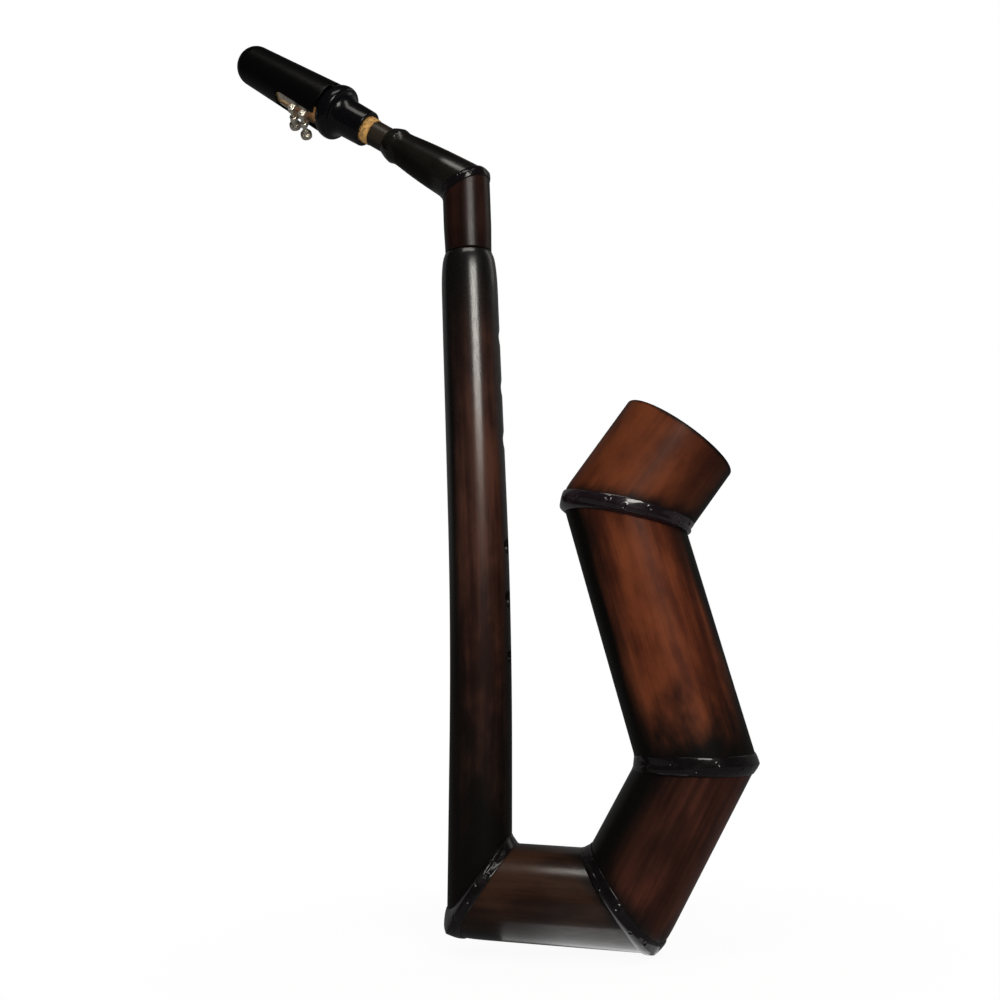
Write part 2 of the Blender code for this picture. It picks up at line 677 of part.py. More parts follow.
def build_neck(shop, swivel):
    """Tenon with its cork, lower tube, elbow collar, upper tube with its node, pipe and cork."""
    seat = BODY_TOP_Z + GAP
    tenon_end = BODY_TOP_Z - TENON_LENGTH
    top = ELBOW_Z + OVERRUN
    profile = [
        (NECK_LOWER_RADIUS, top), (NECK_LOWER_RADIUS, seat + NECK_SEAT_TAPER), (NECK_SEAT_RADIUS, seat),
        (TENON_RADIUS, seat), (TENON_RADIUS, tenon_end), (NECK_BORE_RADIUS, tenon_end),
        (NECK_BORE_RADIUS, top),
    ]
    lower = shop.piece("neck_lower_tube", outline_mesh("neck_lower_tube", profile), "dark_bamboo", swivel)
    add_screw(lower, TUBE_STEPS)
    cut_at_mitre(shop, lower, ELBOW_MITRE, 1.0, swivel)
    shade(lower)

    cork_inner = TENON_RADIUS + GAP
    cork_top = BODY_TOP_Z - TENON_CORK_INSET
    build_sleeve(shop, "neck_tenon_cork", cork_inner, cork_inner + TENON_CORK_WALL,
                 cork_top - TENON_CORK_LENGTH, cork_top, swivel)
    build_collar(shop, "neck_elbow_collar", ELBOW_MITRE, swivel)

    axis = shop.guide("neck_axis", ELBOW, (0.0, math.radians(NECK_ANGLE), 0.0), swivel)
    build_neck_upper(shop, axis, swivel)
    build_pipe(shop, axis)
    cork_start = PIPE_SHOULDER + GAP
    build_sleeve(shop, "mouthpiece_cork", PIPE_TENON_RADIUS + GAP, CORK_RADIUS,
                 cork_start, cork_start + CORK_LENGTH, axis)
    return axis


def build_sleeve(shop, name, inner, outer, low, high, parent):
    """A cork sleeve with a chamfer at both ends."""
    profile = [
        (inner, high), (outer - CORK_EDGE, high), (outer, high - CORK_EDGE),
        (outer, low + CORK_EDGE), (outer - CORK_EDGE, low), (inner, low),
    ]
    sleeve = shop.piece(name, outline_mesh(name, profile), "cork", parent)
    add_screw(sleeve, TUBE_STEPS)
    shade(sleeve)
    return sleeve


def build_neck_upper(shop, axis, swivel):
    """Upper neck: it narrows to a bamboo node and ends round where the pipe comes out."""
    socket = NECK_UPPER_LENGTH - PIPE_SOCKET_DEPTH
    mouth = PIPE_RADIUS + GAP
    waist = NODE_PLACE - NODE_WAIST
    profile = [
        (mouth, NECK_UPPER_LENGTH),
        (NECK_END_RADIUS - NECK_END_EDGE, NECK_UPPER_LENGTH),
        (NECK_END_RADIUS, NECK_UPPER_LENGTH - NECK_END_EDGE),
        (blend(NECK_END_RADIUS, NODE_RADIUS, 0.55), blend(NECK_UPPER_LENGTH, NODE_PLACE, 0.5)),
        (NODE_RADIUS - NODE_EDGE, NODE_PLACE + NODE_RIDGE),
        (NODE_RADIUS, NODE_PLACE),
        (NODE_RADIUS - NODE_EDGE, NODE_PLACE - NODE_RIDGE),
        (NODE_NECK_RADIUS, waist),
        (blend(NODE_NECK_RADIUS, NECK_UPPER_RADIUS, 0.40), blend(waist, 0.0, 0.27)),
        (blend(NODE_NECK_RADIUS, NECK_UPPER_RADIUS, 0.72), blend(waist, 0.0, 0.58)),
        (NECK_UPPER_RADIUS, 0.0),
        (NECK_UPPER_RADIUS, -OVERRUN),
        (NECK_BORE_RADIUS, -OVERRUN),
        (NECK_BORE_RADIUS, socket),
        (mouth, socket),
    ]
    upper = shop.piece("neck_upper_tube", outline_mesh("neck_upper_tube", profile), "dark_bamboo", axis)
    add_screw(upper, TUBE_STEPS)
    cut_at_mitre(shop, upper, ELBOW_MITRE, -1.0, swivel)
    shade(upper)


def build_pipe(shop, axis):
    """The thin pipe, turned down where the cork sits."""
    start = NECK_UPPER_LENGTH - PIPE_SOCKET_DEPTH + GAP
    profile = [
        (PIPE_TENON_RADIUS, PIPE_LENGTH), (PIPE_TENON_RADIUS, PIPE_SHOULDER),
        (PIPE_RADIUS, PIPE_SHOULDER), (PIPE_RADIUS, start),
        (PIPE_BORE_RADIUS, start), (PIPE_BORE_RADIUS, PIPE_LENGTH),
    ]
    pipe = shop.piece("neck_pipe", outline_mesh("neck_pipe", profile), "dark_bamboo", axis)
    add_screw(pipe, TUBE_STEPS)
    shade(pipe)


# Mouthpiece and what sits on it. Its local frame has +Z towards the tip and -X on the reed side.

def table_line(z):
    """Level of the table: flat, then lifted away from the reed by the facing."""
    if z <= FACING_START:
        return -TABLE_DEPTH
    share = (z - FACING_START) / (MOUTHPIECE_LENGTH - FACING_START)
    return -TABLE_DEPTH + FACING_OPENING * share ** 1.6


def beak_line(z):
    """Level of the beak's slope on the side of the upper teeth."""
    tip = table_line(MOUTHPIECE_LENGTH) + BEAK_TIP_THICKNESS
    share = (z - BEAK_START) / (MOUTHPIECE_LENGTH - BEAK_START)
    return blend(MOUTHPIECE_RADIUS, tip, share)


def build_mouthpiece(shop, axis):
    """Shank with a concave sweep up to a round collar, then body, table, window and beak."""
    bore = CORK_RADIUS + GAP
    crest = COLLAR_CREST_RADIUS
    top = crest - SWEEP_LIP
    front = arc(MOUTHPIECE_RADIUS, COLLAR_CREST_PLACE + CREST_FLAT, crest - MOUTHPIECE_RADIUS,
                COLLAR_FRONT_PLACE - COLLAR_CREST_PLACE - CREST_FLAT, 90.0, 0.0, 5)
    sweep = arc(top, SHANK_LENGTH, SHANK_SHOULDER_RADIUS - top,
                COLLAR_CREST_PLACE - SWEEP_SPACE - SHANK_LENGTH, 90.0, 0.0, 4)
    profile = [(0.0, MOUTHPIECE_LENGTH + OVERRUN), (MOUTHPIECE_RADIUS, MOUTHPIECE_LENGTH + OVERRUN)]
    profile += [(MOUTHPIECE_RADIUS, BEAK_START)]
    profile += front
    profile += [(crest - CREST_EDGE, COLLAR_CREST_PLACE - CREST_BACK)]
    profile += sweep
    profile += [
        (SHANK_RADIUS, SHANK_EDGE), (SHANK_RADIUS - SHANK_EDGE, 0.0), (bore, 0.0),
        (bore, MOUTHPIECE_BORE_DEPTH), (CHAMBER_RADIUS, MOUTHPIECE_BORE_DEPTH),
        (CHAMBER_RADIUS, WINDOW_START + CHAMBER_OVERLAP), (0.0, WINDOW_START + CHAMBER_OVERLAP),
    ]
    piece = shop.piece("mouthpiece", outline_mesh("mouthpiece", profile, closed=False), "hard_rubber", axis)
    add_screw(piece, TUBE_STEPS)
    cut(piece, shop.cutter("table_cut", table_cutter(), parent=axis))
    cut(piece, shop.cutter("beak_cut", beak_cutter(), parent=axis))
    for side in (-1.0, 1.0):
        cut(piece, shop.half_space(f"beak_side_cut_{'left' if side < 0 else 'right'}",
                                   (0.0, side * MOUTHPIECE_RADIUS, BEAK_START),
                                   (0.0, side * (MOUTHPIECE_LENGTH - BEAK_START),
                                    MOUTHPIECE_RADIUS - BEAK_TIP_HALF_WIDTH), axis))
    cut(piece, shop.cutter("window_cut", window_cutter(), parent=axis))
    tip = shop.half_space("tip_cut", (0.0, 0.0, MOUTHPIECE_LENGTH), (0.0, 0.0, 1.0), axis)
    cut(piece, tip)
    shade(piece)


def table_cutter():
    """What lies below the table, with the curved facing."""
    far = -CUT_SIZE / 4.0
    end = MOUTHPIECE_LENGTH + OVERRUN * 2.0
    line = [(table_line(TABLE_START), TABLE_START), (table_line(FACING_START), FACING_START)]
    for share in (0.33, 0.66, 1.0):
        z = blend(FACING_START, MOUTHPIECE_LENGTH, share)
        line.append((table_line(z), z))
    line += [(table_line(MOUTHPIECE_LENGTH), end), (far, end), (far, TABLE_START)]
    return prism_mesh("table_cut", line, -CUT_SIZE / 4.0, CUT_SIZE / 4.0)


def beak_cutter():
    """What lies above the beak's slope."""
    far = CUT_SIZE / 4.0
    start = BEAK_START - CUT_PAST
    end = MOUTHPIECE_LENGTH + OVERRUN * 2.0
    line = [(beak_line(start), start), (far, start), (far, end), (beak_line(MOUTHPIECE_LENGTH), end),
            (beak_line(MOUTHPIECE_LENGTH), MOUTHPIECE_LENGTH)]
    return prism_mesh("beak_cut", line, -CUT_SIZE / 4.0, CUT_SIZE / 4.0)


def window_cutter():
    """The window under the reed, with the baffle as its sloping roof."""
    end = MOUTHPIECE_LENGTH - TIP_RAIL
    below = -TABLE_DEPTH - CUT_PAST
    roof_end = min(beak_line(end) - TIP_WALL, table_line(end) + TIP_STEP)
    roof_middle = blend(WINDOW_START, end, 0.5)
    line = [
        (below, WINDOW_START), (below, end), (roof_end, end),
        (beak_line(roof_middle) - BAFFLE_WALL, roof_middle),
        (WINDOW_ROOF, WINDOW_START + WINDOW_FLAT), (WINDOW_ROOF, WINDOW_START),
    ]
    return prism_mesh("window_cut", line, -WINDOW_HALF_WIDTH, WINDOW_HALF_WIDTH)


def build_reed(shop, axis):
    """A segment of round cane on the table, scraped to a thin tip."""
    end = MOUTHPIECE_LENGTH - GAP
    length = end - REED_HEEL
    middle = REED_HEEL + length / 2.0
    flat = -TABLE_DEPTH - GAP
    reed = shop.piece("reed", rod_mesh("reed", REED_RADIUS, length, 2 * TUBE_STEPS), "cane", axis)
    reed.location = (0.0, 0.0, middle)
    cut(reed, shop.half_space("reed_flat_cut", (flat, 0.0, middle), (1.0, 0.0, 0.0), axis))
    for side in (-1.0, 1.0):
        name = f"reed_side_cut_{'near' if side < 0 else 'far'}"
        cut(reed, shop.half_space(name, (0.0, side * REED_HALF_WIDTH, middle), (0.0, side, 0.0), axis))
    beyond = -CUT_SIZE / 4.0
    vamp = [(-REED_RADIUS - GAP, REED_VAMP_START)]
    for share, thickness in REED_VAMP:
        vamp.append((flat - thickness, blend(REED_VAMP_START, end, share)))
    vamp += [
        (flat - REED_TIP_THICKNESS, end + CUT_PAST),
        (beyond, end + CUT_PAST), (beyond, REED_VAMP_START),
    ]
    tool = shop.cutter("vamp_cut", prism_mesh("vamp_cut", vamp, beyond, -beyond), parent=axis)
    cut(reed, tool)
    shade(reed)


def build_ligature(shop, axis):
    """The open band and the barrels at its ends."""
    inner = REED_RADIUS + GAP
    outer = inner + BAND_WALL
    top = BAND_START + BAND_LENGTH
    profile = [(outer, top), (outer, BAND_START), (inner, BAND_START), (inner, top)]
    band = shop.piece("ligature_band", outline_mesh("ligature_band", profile), "bright_nickel", axis)
    add_screw(band, TUBE_STEPS)
    opening = box_mesh("band_opening", 2.0 * outer, 2.0 * BAND_HALF_OPENING, 2.0 * BAND_LENGTH)
    cut(band, shop.cutter("band_opening", opening, (-outer, 0.0, blend(BAND_START, top, 0.5)), parent=axis))
    shade(band)
    for place, z in SCREW_PLACES.items():
        for side, sign in (("near", -1.0), ("far", 1.0)):
            build_barrel(shop, axis, f"ligature_barrel_{place}_{side}", sign, z, outer + GAP)


def build_barrel(shop, axis, name, sign, z, seat):
    """A bored barrel on a foot that reaches down to the band."""
    half = BARREL_LENGTH / 2.0
    middle = sign * (BAND_HALF_OPENING + half)
    barrel = shop.piece(name, rod_mesh(name, BARREL_RADIUS, BARREL_LENGTH), "bright_nickel", axis)
    barrel.location = (-SCREW_DEPTH, middle, z)
    barrel.rotation_euler = (math.pi / 2.0, 0.0, 0.0)
    foot_height = SCREW_DEPTH - seat
    foot = box_mesh(name + "_foot", foot_height, BARREL_LENGTH, BARREL_FOOT)
    tool = shop.cutter(name + "_foot", foot, (-seat - foot_height / 2.0, middle, z), parent=axis)
    joined = barrel.modifiers.new("foot", "BOOLEAN")
    joined.operation = "UNION"
    joined.solver = "EXACT"
    joined.object = tool
    bore = rod_mesh(name + "_bore", SCREW_RADIUS + GAP, 2.0 * BARREL_LENGTH)
    cut(barrel, shop.cutter(name + "_bore", bore, barrel.location, barrel.rotation_euler, axis))
    shade(barrel)


def build_ligature_screws(shop, axis):
    """Screws through the barrels, with a stem and a round knob on the far side."""
    barrel_end = BAND_HALF_OPENING + BARREL_LENGTH
    for place, z in SCREW_PLACES.items():
        turned = (-math.pi / 2.0, 0.0, 0.0)
        holder = shop.guide(f"screw_axis_{place}", (-SCREW_DEPTH, 0.0, z), turned, axis)
        stem = barrel_end + GAP + SCREW_OUT[place]
        start = -barrel_end - SCREW_TAIL
        knob = stem + KNOB_STEM_LENGTH
        end = knob + KNOB_LENGTH
        profile = [
            (0.0, end), (KNOB_RADIUS - KNOB_EDGE, end), (KNOB_RADIUS, end - KNOB_EDGE),
            (KNOB_RADIUS, knob + KNOB_EDGE), (KNOB_RADIUS - KNOB_EDGE, knob),
            (KNOB_STEM_RADIUS, knob), (KNOB_STEM_RADIUS, stem),
            (SCREW_RADIUS, stem), (SCREW_RADIUS, start), (0.0, start),
        ]
        name = f"ligature_screw_{place}"
        screw = shop.piece(name, outline_mesh(name, profile, closed=False), "bright_nickel", holder)
        add_screw(screw, SMALL_STEPS)
        shade(screw)


def build_cap(shop, axis):
    """Cap with a domed end; its slot is open towards the shank and lets the screws stand out."""
    open_end = COLLAR_FRONT_PLACE + GAP
    dome = CAP_PLACE - CAP_DOME_LENGTH
    inner_end = CAP_END_RADIUS - CAP_WALL
    profile = arc(0.0, dome, CAP_END_RADIUS, CAP_DOME_LENGTH, 90.0, 0.0, 6)
    profile += [(CAP_OPEN_RADIUS, open_end), (CAP_OPEN_RADIUS - CAP_WALL, open_end)]
    profile += arc(0.0, dome, inner_end, CAP_DOME_LENGTH - CAP_WALL, 0.0, 90.0, 6)
    profile[0] = (0.0, CAP_PLACE)
    profile[-1] = (0.0, CAP_PLACE - CAP_WALL)
    mesh = outline_mesh("mouthpiece_cap", profile, closed=False)
    cap = shop.piece("mouthpiece_cap", mesh, "cap_plastic", axis)
    add_screw(cap, TUBE_STEPS)
    cut(cap, shop.cutter("cap_slot", slot_mesh(), parent=axis))
    shade(cap)


def slot_mesh():
    """A slot with round corners, as an outline across the cap extruded from the axis outwards."""
    start = 0.0
    bend = SLOT_HALF_WIDTH - SLOT_CORNER
    outline = [(-SLOT_HALF_WIDTH, start)]
    outline += arc(-bend, SLOT_END - SLOT_CORNER, SLOT_CORNER, SLOT_CORNER, 180.0, 90.0, 5)
    outline += arc(bend, SLOT_END - SLOT_CORNER, SLOT_CORNER, SLOT_CORNER, 90.0, 0.0, 5)
    outline += [(SLOT_HALF_WIDTH, start)]
    mesh = prism_mesh("cap_slot", outline, SLOT_FLOOR, 2.0 * CAP_OPEN_RADIUS)
    mesh.transform(Matrix.Rotation(math.pi / 2.0, 4, "Z"))
    return mesh


def build_mouthpiece_group(shop, neck_axis):
    """The mouthpiece and everything that it carries, turned on the cork as a player sets it."""
    axis = shop.guide("mouthpiece_axis", (0.0, 0.0, SHANK_PLACE),
                      (0.0, 0.0, math.radians(MOUTHPIECE_TURN)), neck_axis)
    build_mouthpiece(shop, axis)
    build_reed(shop, axis)
    build_ligature(shop, axis)
    build_ligature_screws(shop, axis)
    build_cap(shop, axis)


def main():
    clear_scene()
    shop = Workshop()
    build_body_tube(shop)
    build_bow_and_bell(shop)
    build_collars(shop)
    swivel = shop.guide("neck_swivel", (0.0, 0.0, 0.0), (0.0, 0.0, -math.radians(NECK_TURN)))
    neck_axis = build_neck(shop, swivel)
    build_mouthpiece_group(shop, neck_axis)


main()
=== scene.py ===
"""Looks of a bamboo saxophone: scorched and lacquered bamboo, dark wound collars, cork,
hard rubber mouthpiece with a cane reed, nickel ligature and black cap, on a pale stage.

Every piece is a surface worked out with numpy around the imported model, whose frame it keeps:
+Z runs up the body tube, the mouthpiece points to -X, the bell opens on the +X side, -Y is the front.
Lengths are in metres, except where a field says millimetres.
"""

import logging
import math
from dataclasses import dataclass, field
from enum import Enum
from typing import Callable, Mapping, Sequence

import bpy
import numpy as np
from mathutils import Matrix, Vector

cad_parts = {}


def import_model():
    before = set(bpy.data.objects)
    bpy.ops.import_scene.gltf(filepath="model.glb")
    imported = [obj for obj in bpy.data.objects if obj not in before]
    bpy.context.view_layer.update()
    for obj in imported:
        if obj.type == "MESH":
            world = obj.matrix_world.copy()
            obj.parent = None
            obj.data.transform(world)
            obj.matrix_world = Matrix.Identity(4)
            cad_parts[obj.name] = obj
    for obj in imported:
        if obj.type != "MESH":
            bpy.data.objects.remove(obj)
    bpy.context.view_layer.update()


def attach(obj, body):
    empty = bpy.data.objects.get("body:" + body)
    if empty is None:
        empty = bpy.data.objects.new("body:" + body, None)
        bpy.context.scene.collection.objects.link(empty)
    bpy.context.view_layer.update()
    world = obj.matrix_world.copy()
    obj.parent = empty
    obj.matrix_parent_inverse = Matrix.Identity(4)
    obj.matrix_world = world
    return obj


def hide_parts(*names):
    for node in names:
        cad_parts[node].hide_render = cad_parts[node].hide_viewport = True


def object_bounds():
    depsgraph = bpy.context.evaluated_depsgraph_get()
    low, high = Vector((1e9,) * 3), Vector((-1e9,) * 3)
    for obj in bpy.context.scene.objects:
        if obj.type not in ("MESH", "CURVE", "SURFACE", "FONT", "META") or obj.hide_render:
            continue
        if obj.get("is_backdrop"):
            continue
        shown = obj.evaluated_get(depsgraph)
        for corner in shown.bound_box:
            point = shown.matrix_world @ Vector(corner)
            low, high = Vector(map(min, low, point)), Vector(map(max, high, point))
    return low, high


Array = np.ndarray
Pair = tuple[float, float]
Triple = tuple[float, float, float]

LOG = logging.getLogger("bamboo_saxophone")
MM = 0.001
TAU = 2.0 * math.pi
GRAIN = "grain"                   # attribute: place in a piece's own frame, +Z along it
AROUND = 224                      # facets round a tube
SMALL_AROUND = 128                # and round a small turned piece
NEWTON_STEPS = 10
SEAM = 0.1 * MM                   # from a tube's cut end to its mitre's plane
FIT = 0.3 * MM                    # gap between pieces that slide or turn on each other
POLE = 0.0001 * MM                # radius of a drill's profile where it meets the axis
TUBE_CORNER = 0.9 * MM            # level of a tube's filed corner
COLLAR_CORNER = 2.0 * MM          # and of the collar's over it
UP = (0.0, 0.0, 1.0)
RIPPLES = ((2.0, 1.0, 9.0, 0.45),     # waves round a stem, share of the seed, waves along, height
           (3.0, -2.1, 21.0, 0.30),
           (5.0, 3.7, -33.0, 0.15),
           (0.0, 1.0, 47.0, 0.10))


class Finish(Enum):
    """The record's material slots."""

    DARK_BAMBOO = "dark_bamboo"
    BROWN_BAMBOO = "brown_bamboo"
    COLLAR = "collar_lacquer"
    CORK = "cork"
    RUBBER = "hard_rubber"
    CANE = "cane"
    NICKEL = "bright_nickel"
    CAP = "cap_plastic"


# Vectors and profiles

def vec(*values: float) -> Array:
    """A float vector."""
    return np.array(values, float)


def unit(vector: Array) -> Array:
    """The vector at length one."""
    return vector / np.linalg.norm(vector)


def along(angle: float, turn: float = 0.0, lean: float = 0.0) -> Array:
    """Unit vector at an angle from +Z towards +X, in an upright plane turned to the front.

    Args:
        angle: degrees from +Z.
        turn: degrees by which the plane is turned to the front, -Y.
        lean: degrees by which the vector tips out of that plane, away from the front.

    Returns:
        cos(lean) (cos(angle) Z + sin(angle) outward) + sin(lean) away.
    """
    rise, yaw, tip = (math.radians(value) for value in (angle, turn, lean))
    outward = vec(math.cos(yaw), -math.sin(yaw), 0.0)
    away = vec(math.sin(yaw), math.cos(yaw), 0.0)
    upright = vec(0.0, 0.0, math.cos(rise)) + outward * math.sin(rise)
    return upright * math.cos(tip) + away * math.sin(tip)


def blend(start: float | Array, end: float | Array, share: float | Array) -> float | Array:
    """start + (end - start) share."""
    return start + (end - start) * share


def smoothstep(low: float, high: float, value: float | Array) -> float | Array:
    """3t^2 - 2t^3 of the value's place t between low and high."""
    place = np.clip((value - low) / (high - low), 0.0, 1.0)
    return place * place * (3.0 - 2.0 * place)


def smooth_rows(count: int) -> Array:
    """Shares from 0 to 1, closer together at both ends: (1 - cos(pi t)) / 2 mixed with t."""
    even = np.linspace(0.0, 1.0, count)
    return 0.5 * even + 0.25 * (1.0 - np.cos(math.pi * even))


def turns(steps: int = AROUND) -> Array:
    """Even angles once round."""
    return np.linspace(0.0, TAU, steps, endpoint=False)


def ring(radius: float | Array, turn: Array, place: float | Array) -> Array:
    """(r cos a, r sin a, z) in the last axis, for radii, angles and places of matching shapes."""
    return np.stack(np.broadcast_arrays(radius * np.cos(turn), radius * np.sin(turn), place), axis=-1)


def arc(centre: Pair, size: Pair, start: float, end: float, count: int) -> list[Pair]:
    """Points (radius, place) on an ellipse: centre + size (cos, sin) from start to end degrees."""
    return [(centre[0] + size[0] * math.cos(turn), centre[1] + size[1] * math.sin(turn))
            for turn in np.radians(np.linspace(start, end, count + 1))]


def smooth_line(points: Sequence[Pair], count: int) -> list[Pair]:
    """A smooth profile through (radius, place) points.

    Each stretch is the cubic h00 p0 + h10 m0 + h01 p1 + h11 m1, whose tangents m are half the
    difference of the neighbouring points.

    Args:
        points: the profile's own points.
        count: samples for each stretch.

    Returns:
        The sampled profile, ends included.
    """
    line = np.array(points)
    slope = np.gradient(line, axis=0)
    t = np.linspace(0.0, 1.0, count, endpoint=False)[:, None]
    made = [(2 * t**3 - 3 * t**2 + 1) * line[index] + (t**3 - 2 * t**2 + t) * slope[index]
            + (3 * t**2 - 2 * t**3) * line[index + 1] + (t**3 - t**2) * slope[index + 1]
            for index in range(len(line) - 1)]
    return [tuple(point) for point in np.vstack([*made, line[-1:]])]


def ripple(around: Array, place: float | Array, seed: float) -> Array:
    """Slow unevenness of a natural stem, about -1 to 1: a few sines of the angle and the place."""
    return sum(high * np.sin(lobes * around + shift * seed + rate * place)
               for lobes, shift, rate, high in RIPPLES)


@dataclass
class Pose:
    """A place and two directions: +Z along the piece and +X across it.

    Attributes:
        origin: where the local frame starts.
        way: the local +Z direction.
        across: the local +X direction, made square to way.
    """

    origin: Array
    way: Array
    across: Array = field(default_factory=lambda: vec(0.0, -1.0, 0.0))

    def __post_init__(self) -> None:
        """Square the directions and add the local +Y, beside."""
        self.way = unit(self.way)
        self.across = unit(self.across - self.way * float(self.across @ self.way))
        self.beside = np.cross(self.way, self.across)

    def world(self, local: Array) -> Array:
        """origin + x across + y beside + z way, for points in the last axis."""
        return (self.origin + local[..., :1] * self.across + local[..., 1:2] * self.beside
                + local[..., 2:3] * self.way)

    def local(self, world: Array) -> Array:
        """The parts of world - origin along across, beside and way."""
        return (world - self.origin) @ np.stack([self.across, self.beside, self.way], axis=-1)


# Meshes

def new_object(name: str, vertices: Array, faces: list, grain: Array | None = None) -> bpy.types.Object:
    """A linked mesh object with smooth faces and its grain attribute.

    Args:
        name: the piece's name.
        vertices: places in the row's frame, one row each.
        faces: vertex numbers of each face.
        grain: places in the piece's own frame; the vertices themselves where left out.

    Returns:
        The object, at the origin.
    """
    mesh = bpy.data.meshes.new(name)
    mesh.from_pydata(vertices.tolist(), [], faces)
    attribute = mesh.attributes.new(GRAIN, "FLOAT_VECTOR", "POINT")
    places = vertices if grain is None else grain
    attribute.data.foreach_set("vector", places.astype(np.float32).ravel())
    mesh.validate()
    made = bpy.data.objects.new(name, mesh)
    bpy.context.scene.collection.objects.link(made)
    mesh.shade_smooth()
    return made


def loft(name: str, sections: Array, grain: Array | None = None, closed: bool = False) -> bpy.types.Object:
    """A closed surface through sections; where it isn't closed on itself, each end gets a pole.

    Args:
        name: the piece's name.
        sections: array (rows, columns, 3); the columns close on themselves.
        grain: the same points in the piece's own frame.
        closed: the last row joins the first one.

    Returns:
        The object.
    """
    rows, columns = sections.shape[:2]
    grain = sections if grain is None else grain
    points, local = sections.reshape(-1, 3), grain.reshape(-1, 3)
    row, column = np.meshgrid(np.arange(rows if closed else rows - 1), np.arange(columns), indexing="ij")
    after, beside = (row + 1) % rows, (column + 1) % columns
    faces = np.stack([row * columns + column, row * columns + beside, after * columns + beside,
                      after * columns + column], axis=-1).reshape(-1, 4).tolist()
    if not closed:
        points = np.vstack([points, sections[0].mean(axis=0), sections[-1].mean(axis=0)])
        local = np.vstack([local, grain[0].mean(axis=0), grain[-1].mean(axis=0)])
        first, last, start = rows * columns, rows * columns + 1, (rows - 1) * columns
        for place in range(columns):
            following = (place + 1) % columns
            faces += [(first, following, place), (last, start + place, start + following)]
    made = new_object(name, points, faces, local)
    point_outwards(made)
    return made


def point_outwards(made: bpy.types.Object) -> None:
    """Turn all faces over where the closed mesh's signed volume, sum of a . (b x c) / 6, is negative.

    Args:
        made: the object, with a closed mesh.
    """
    mesh = made.data
    mesh.calc_loop_triangles()
    points = np.zeros(len(mesh.vertices) * 3)
    mesh.vertices.foreach_get("co", points)
    points = points.reshape(-1, 3) - points.reshape(-1, 3).mean(axis=0)
    corners = np.zeros(len(mesh.loop_triangles) * 3, int)
    mesh.loop_triangles.foreach_get("vertices", corners)
    first, second, third = np.swapaxes(points[corners.reshape(-1, 3)], 0, 1)
    if (first * np.cross(second, third)).sum() < 0.0:
        mesh.flip_normals()


def revolve(name: str, profile: Sequence[Pair], pose: Pose, steps: int = SMALL_AROUND,
            closed: bool = False, uneven: Callable[[Array, Array], Array] | None = None) -> bpy.types.Object:
    """A turned piece: (r cos a, r sin a, z) for each (radius r, place z) of the profile.

    Args:
        name: the piece's name.
        profile: its points, in order along the surface.
        pose: where it stands.
        steps: facets round it.
        closed: the profile is a loop round a hollow ring; otherwise it runs from pole to pole.
        uneven: what is added to the radius, from angle and place.

    Returns:
        The object.
    """
    turn = turns(steps)[None, :]
    line = np.array(profile)
    radius, place = line[:, :1], line[:, 1:2]
    if uneven:
        radius = radius + uneven(turn, place)
    local = ring(radius, turn, place)
    return loft(name, pose.world(local), local, closed)


def subtract(made: bpy.types.Object, tool: bpy.types.Object) -> None:
    """Take a tool away from a piece and delete the tool.

    Args:
        made: the piece.
        tool: the closed mesh to take away.
    """
    cut = made.modifiers.new("cut", "BOOLEAN")
    cut.operation = "DIFFERENCE"
    cut.solver = "EXACT"
    cut.object = tool
    bpy.context.view_layer.update()
    mesh = bpy.data.meshes.new_from_object(made.evaluated_get(bpy.context.evaluated_depsgraph_get()))
    made.modifiers.clear()
    made.data = mesh
    bpy.data.objects.remove(tool, do_unlink=True)


def set_grain(made: bpy.types.Object, local: Callable[[Array], Array]) -> None:
    """Write the grain attribute anew, which a cut leaves empty.

    Args:
        made: the piece.
        local: gives the place in the piece's own frame from the place in the row's.
    """
    mesh = made.data
    places = np.zeros(len(mesh.vertices) * 3)
    mesh.vertices.foreach_get("co", places)
    values = local(places.reshape(-1, 3)).astype(np.float32)
    mesh.attributes[GRAIN].data.foreach_set("vector", values.ravel())


# Shader maths

@dataclass(frozen=True)
class Pattern:
    """Fractal noise of a vector, 0 to 1.

    Attributes:
        scale: cycles per metre.
        detail: its octaves.
        rough: what each finer octave keeps.
        stretch: factors on the vector first; a factor below 1 draws the pattern out that way.
    """

    scale: float
    detail: float = 3.0
    rough: float = 0.55
    stretch: Triple = (1.0, 1.0, 1.0)


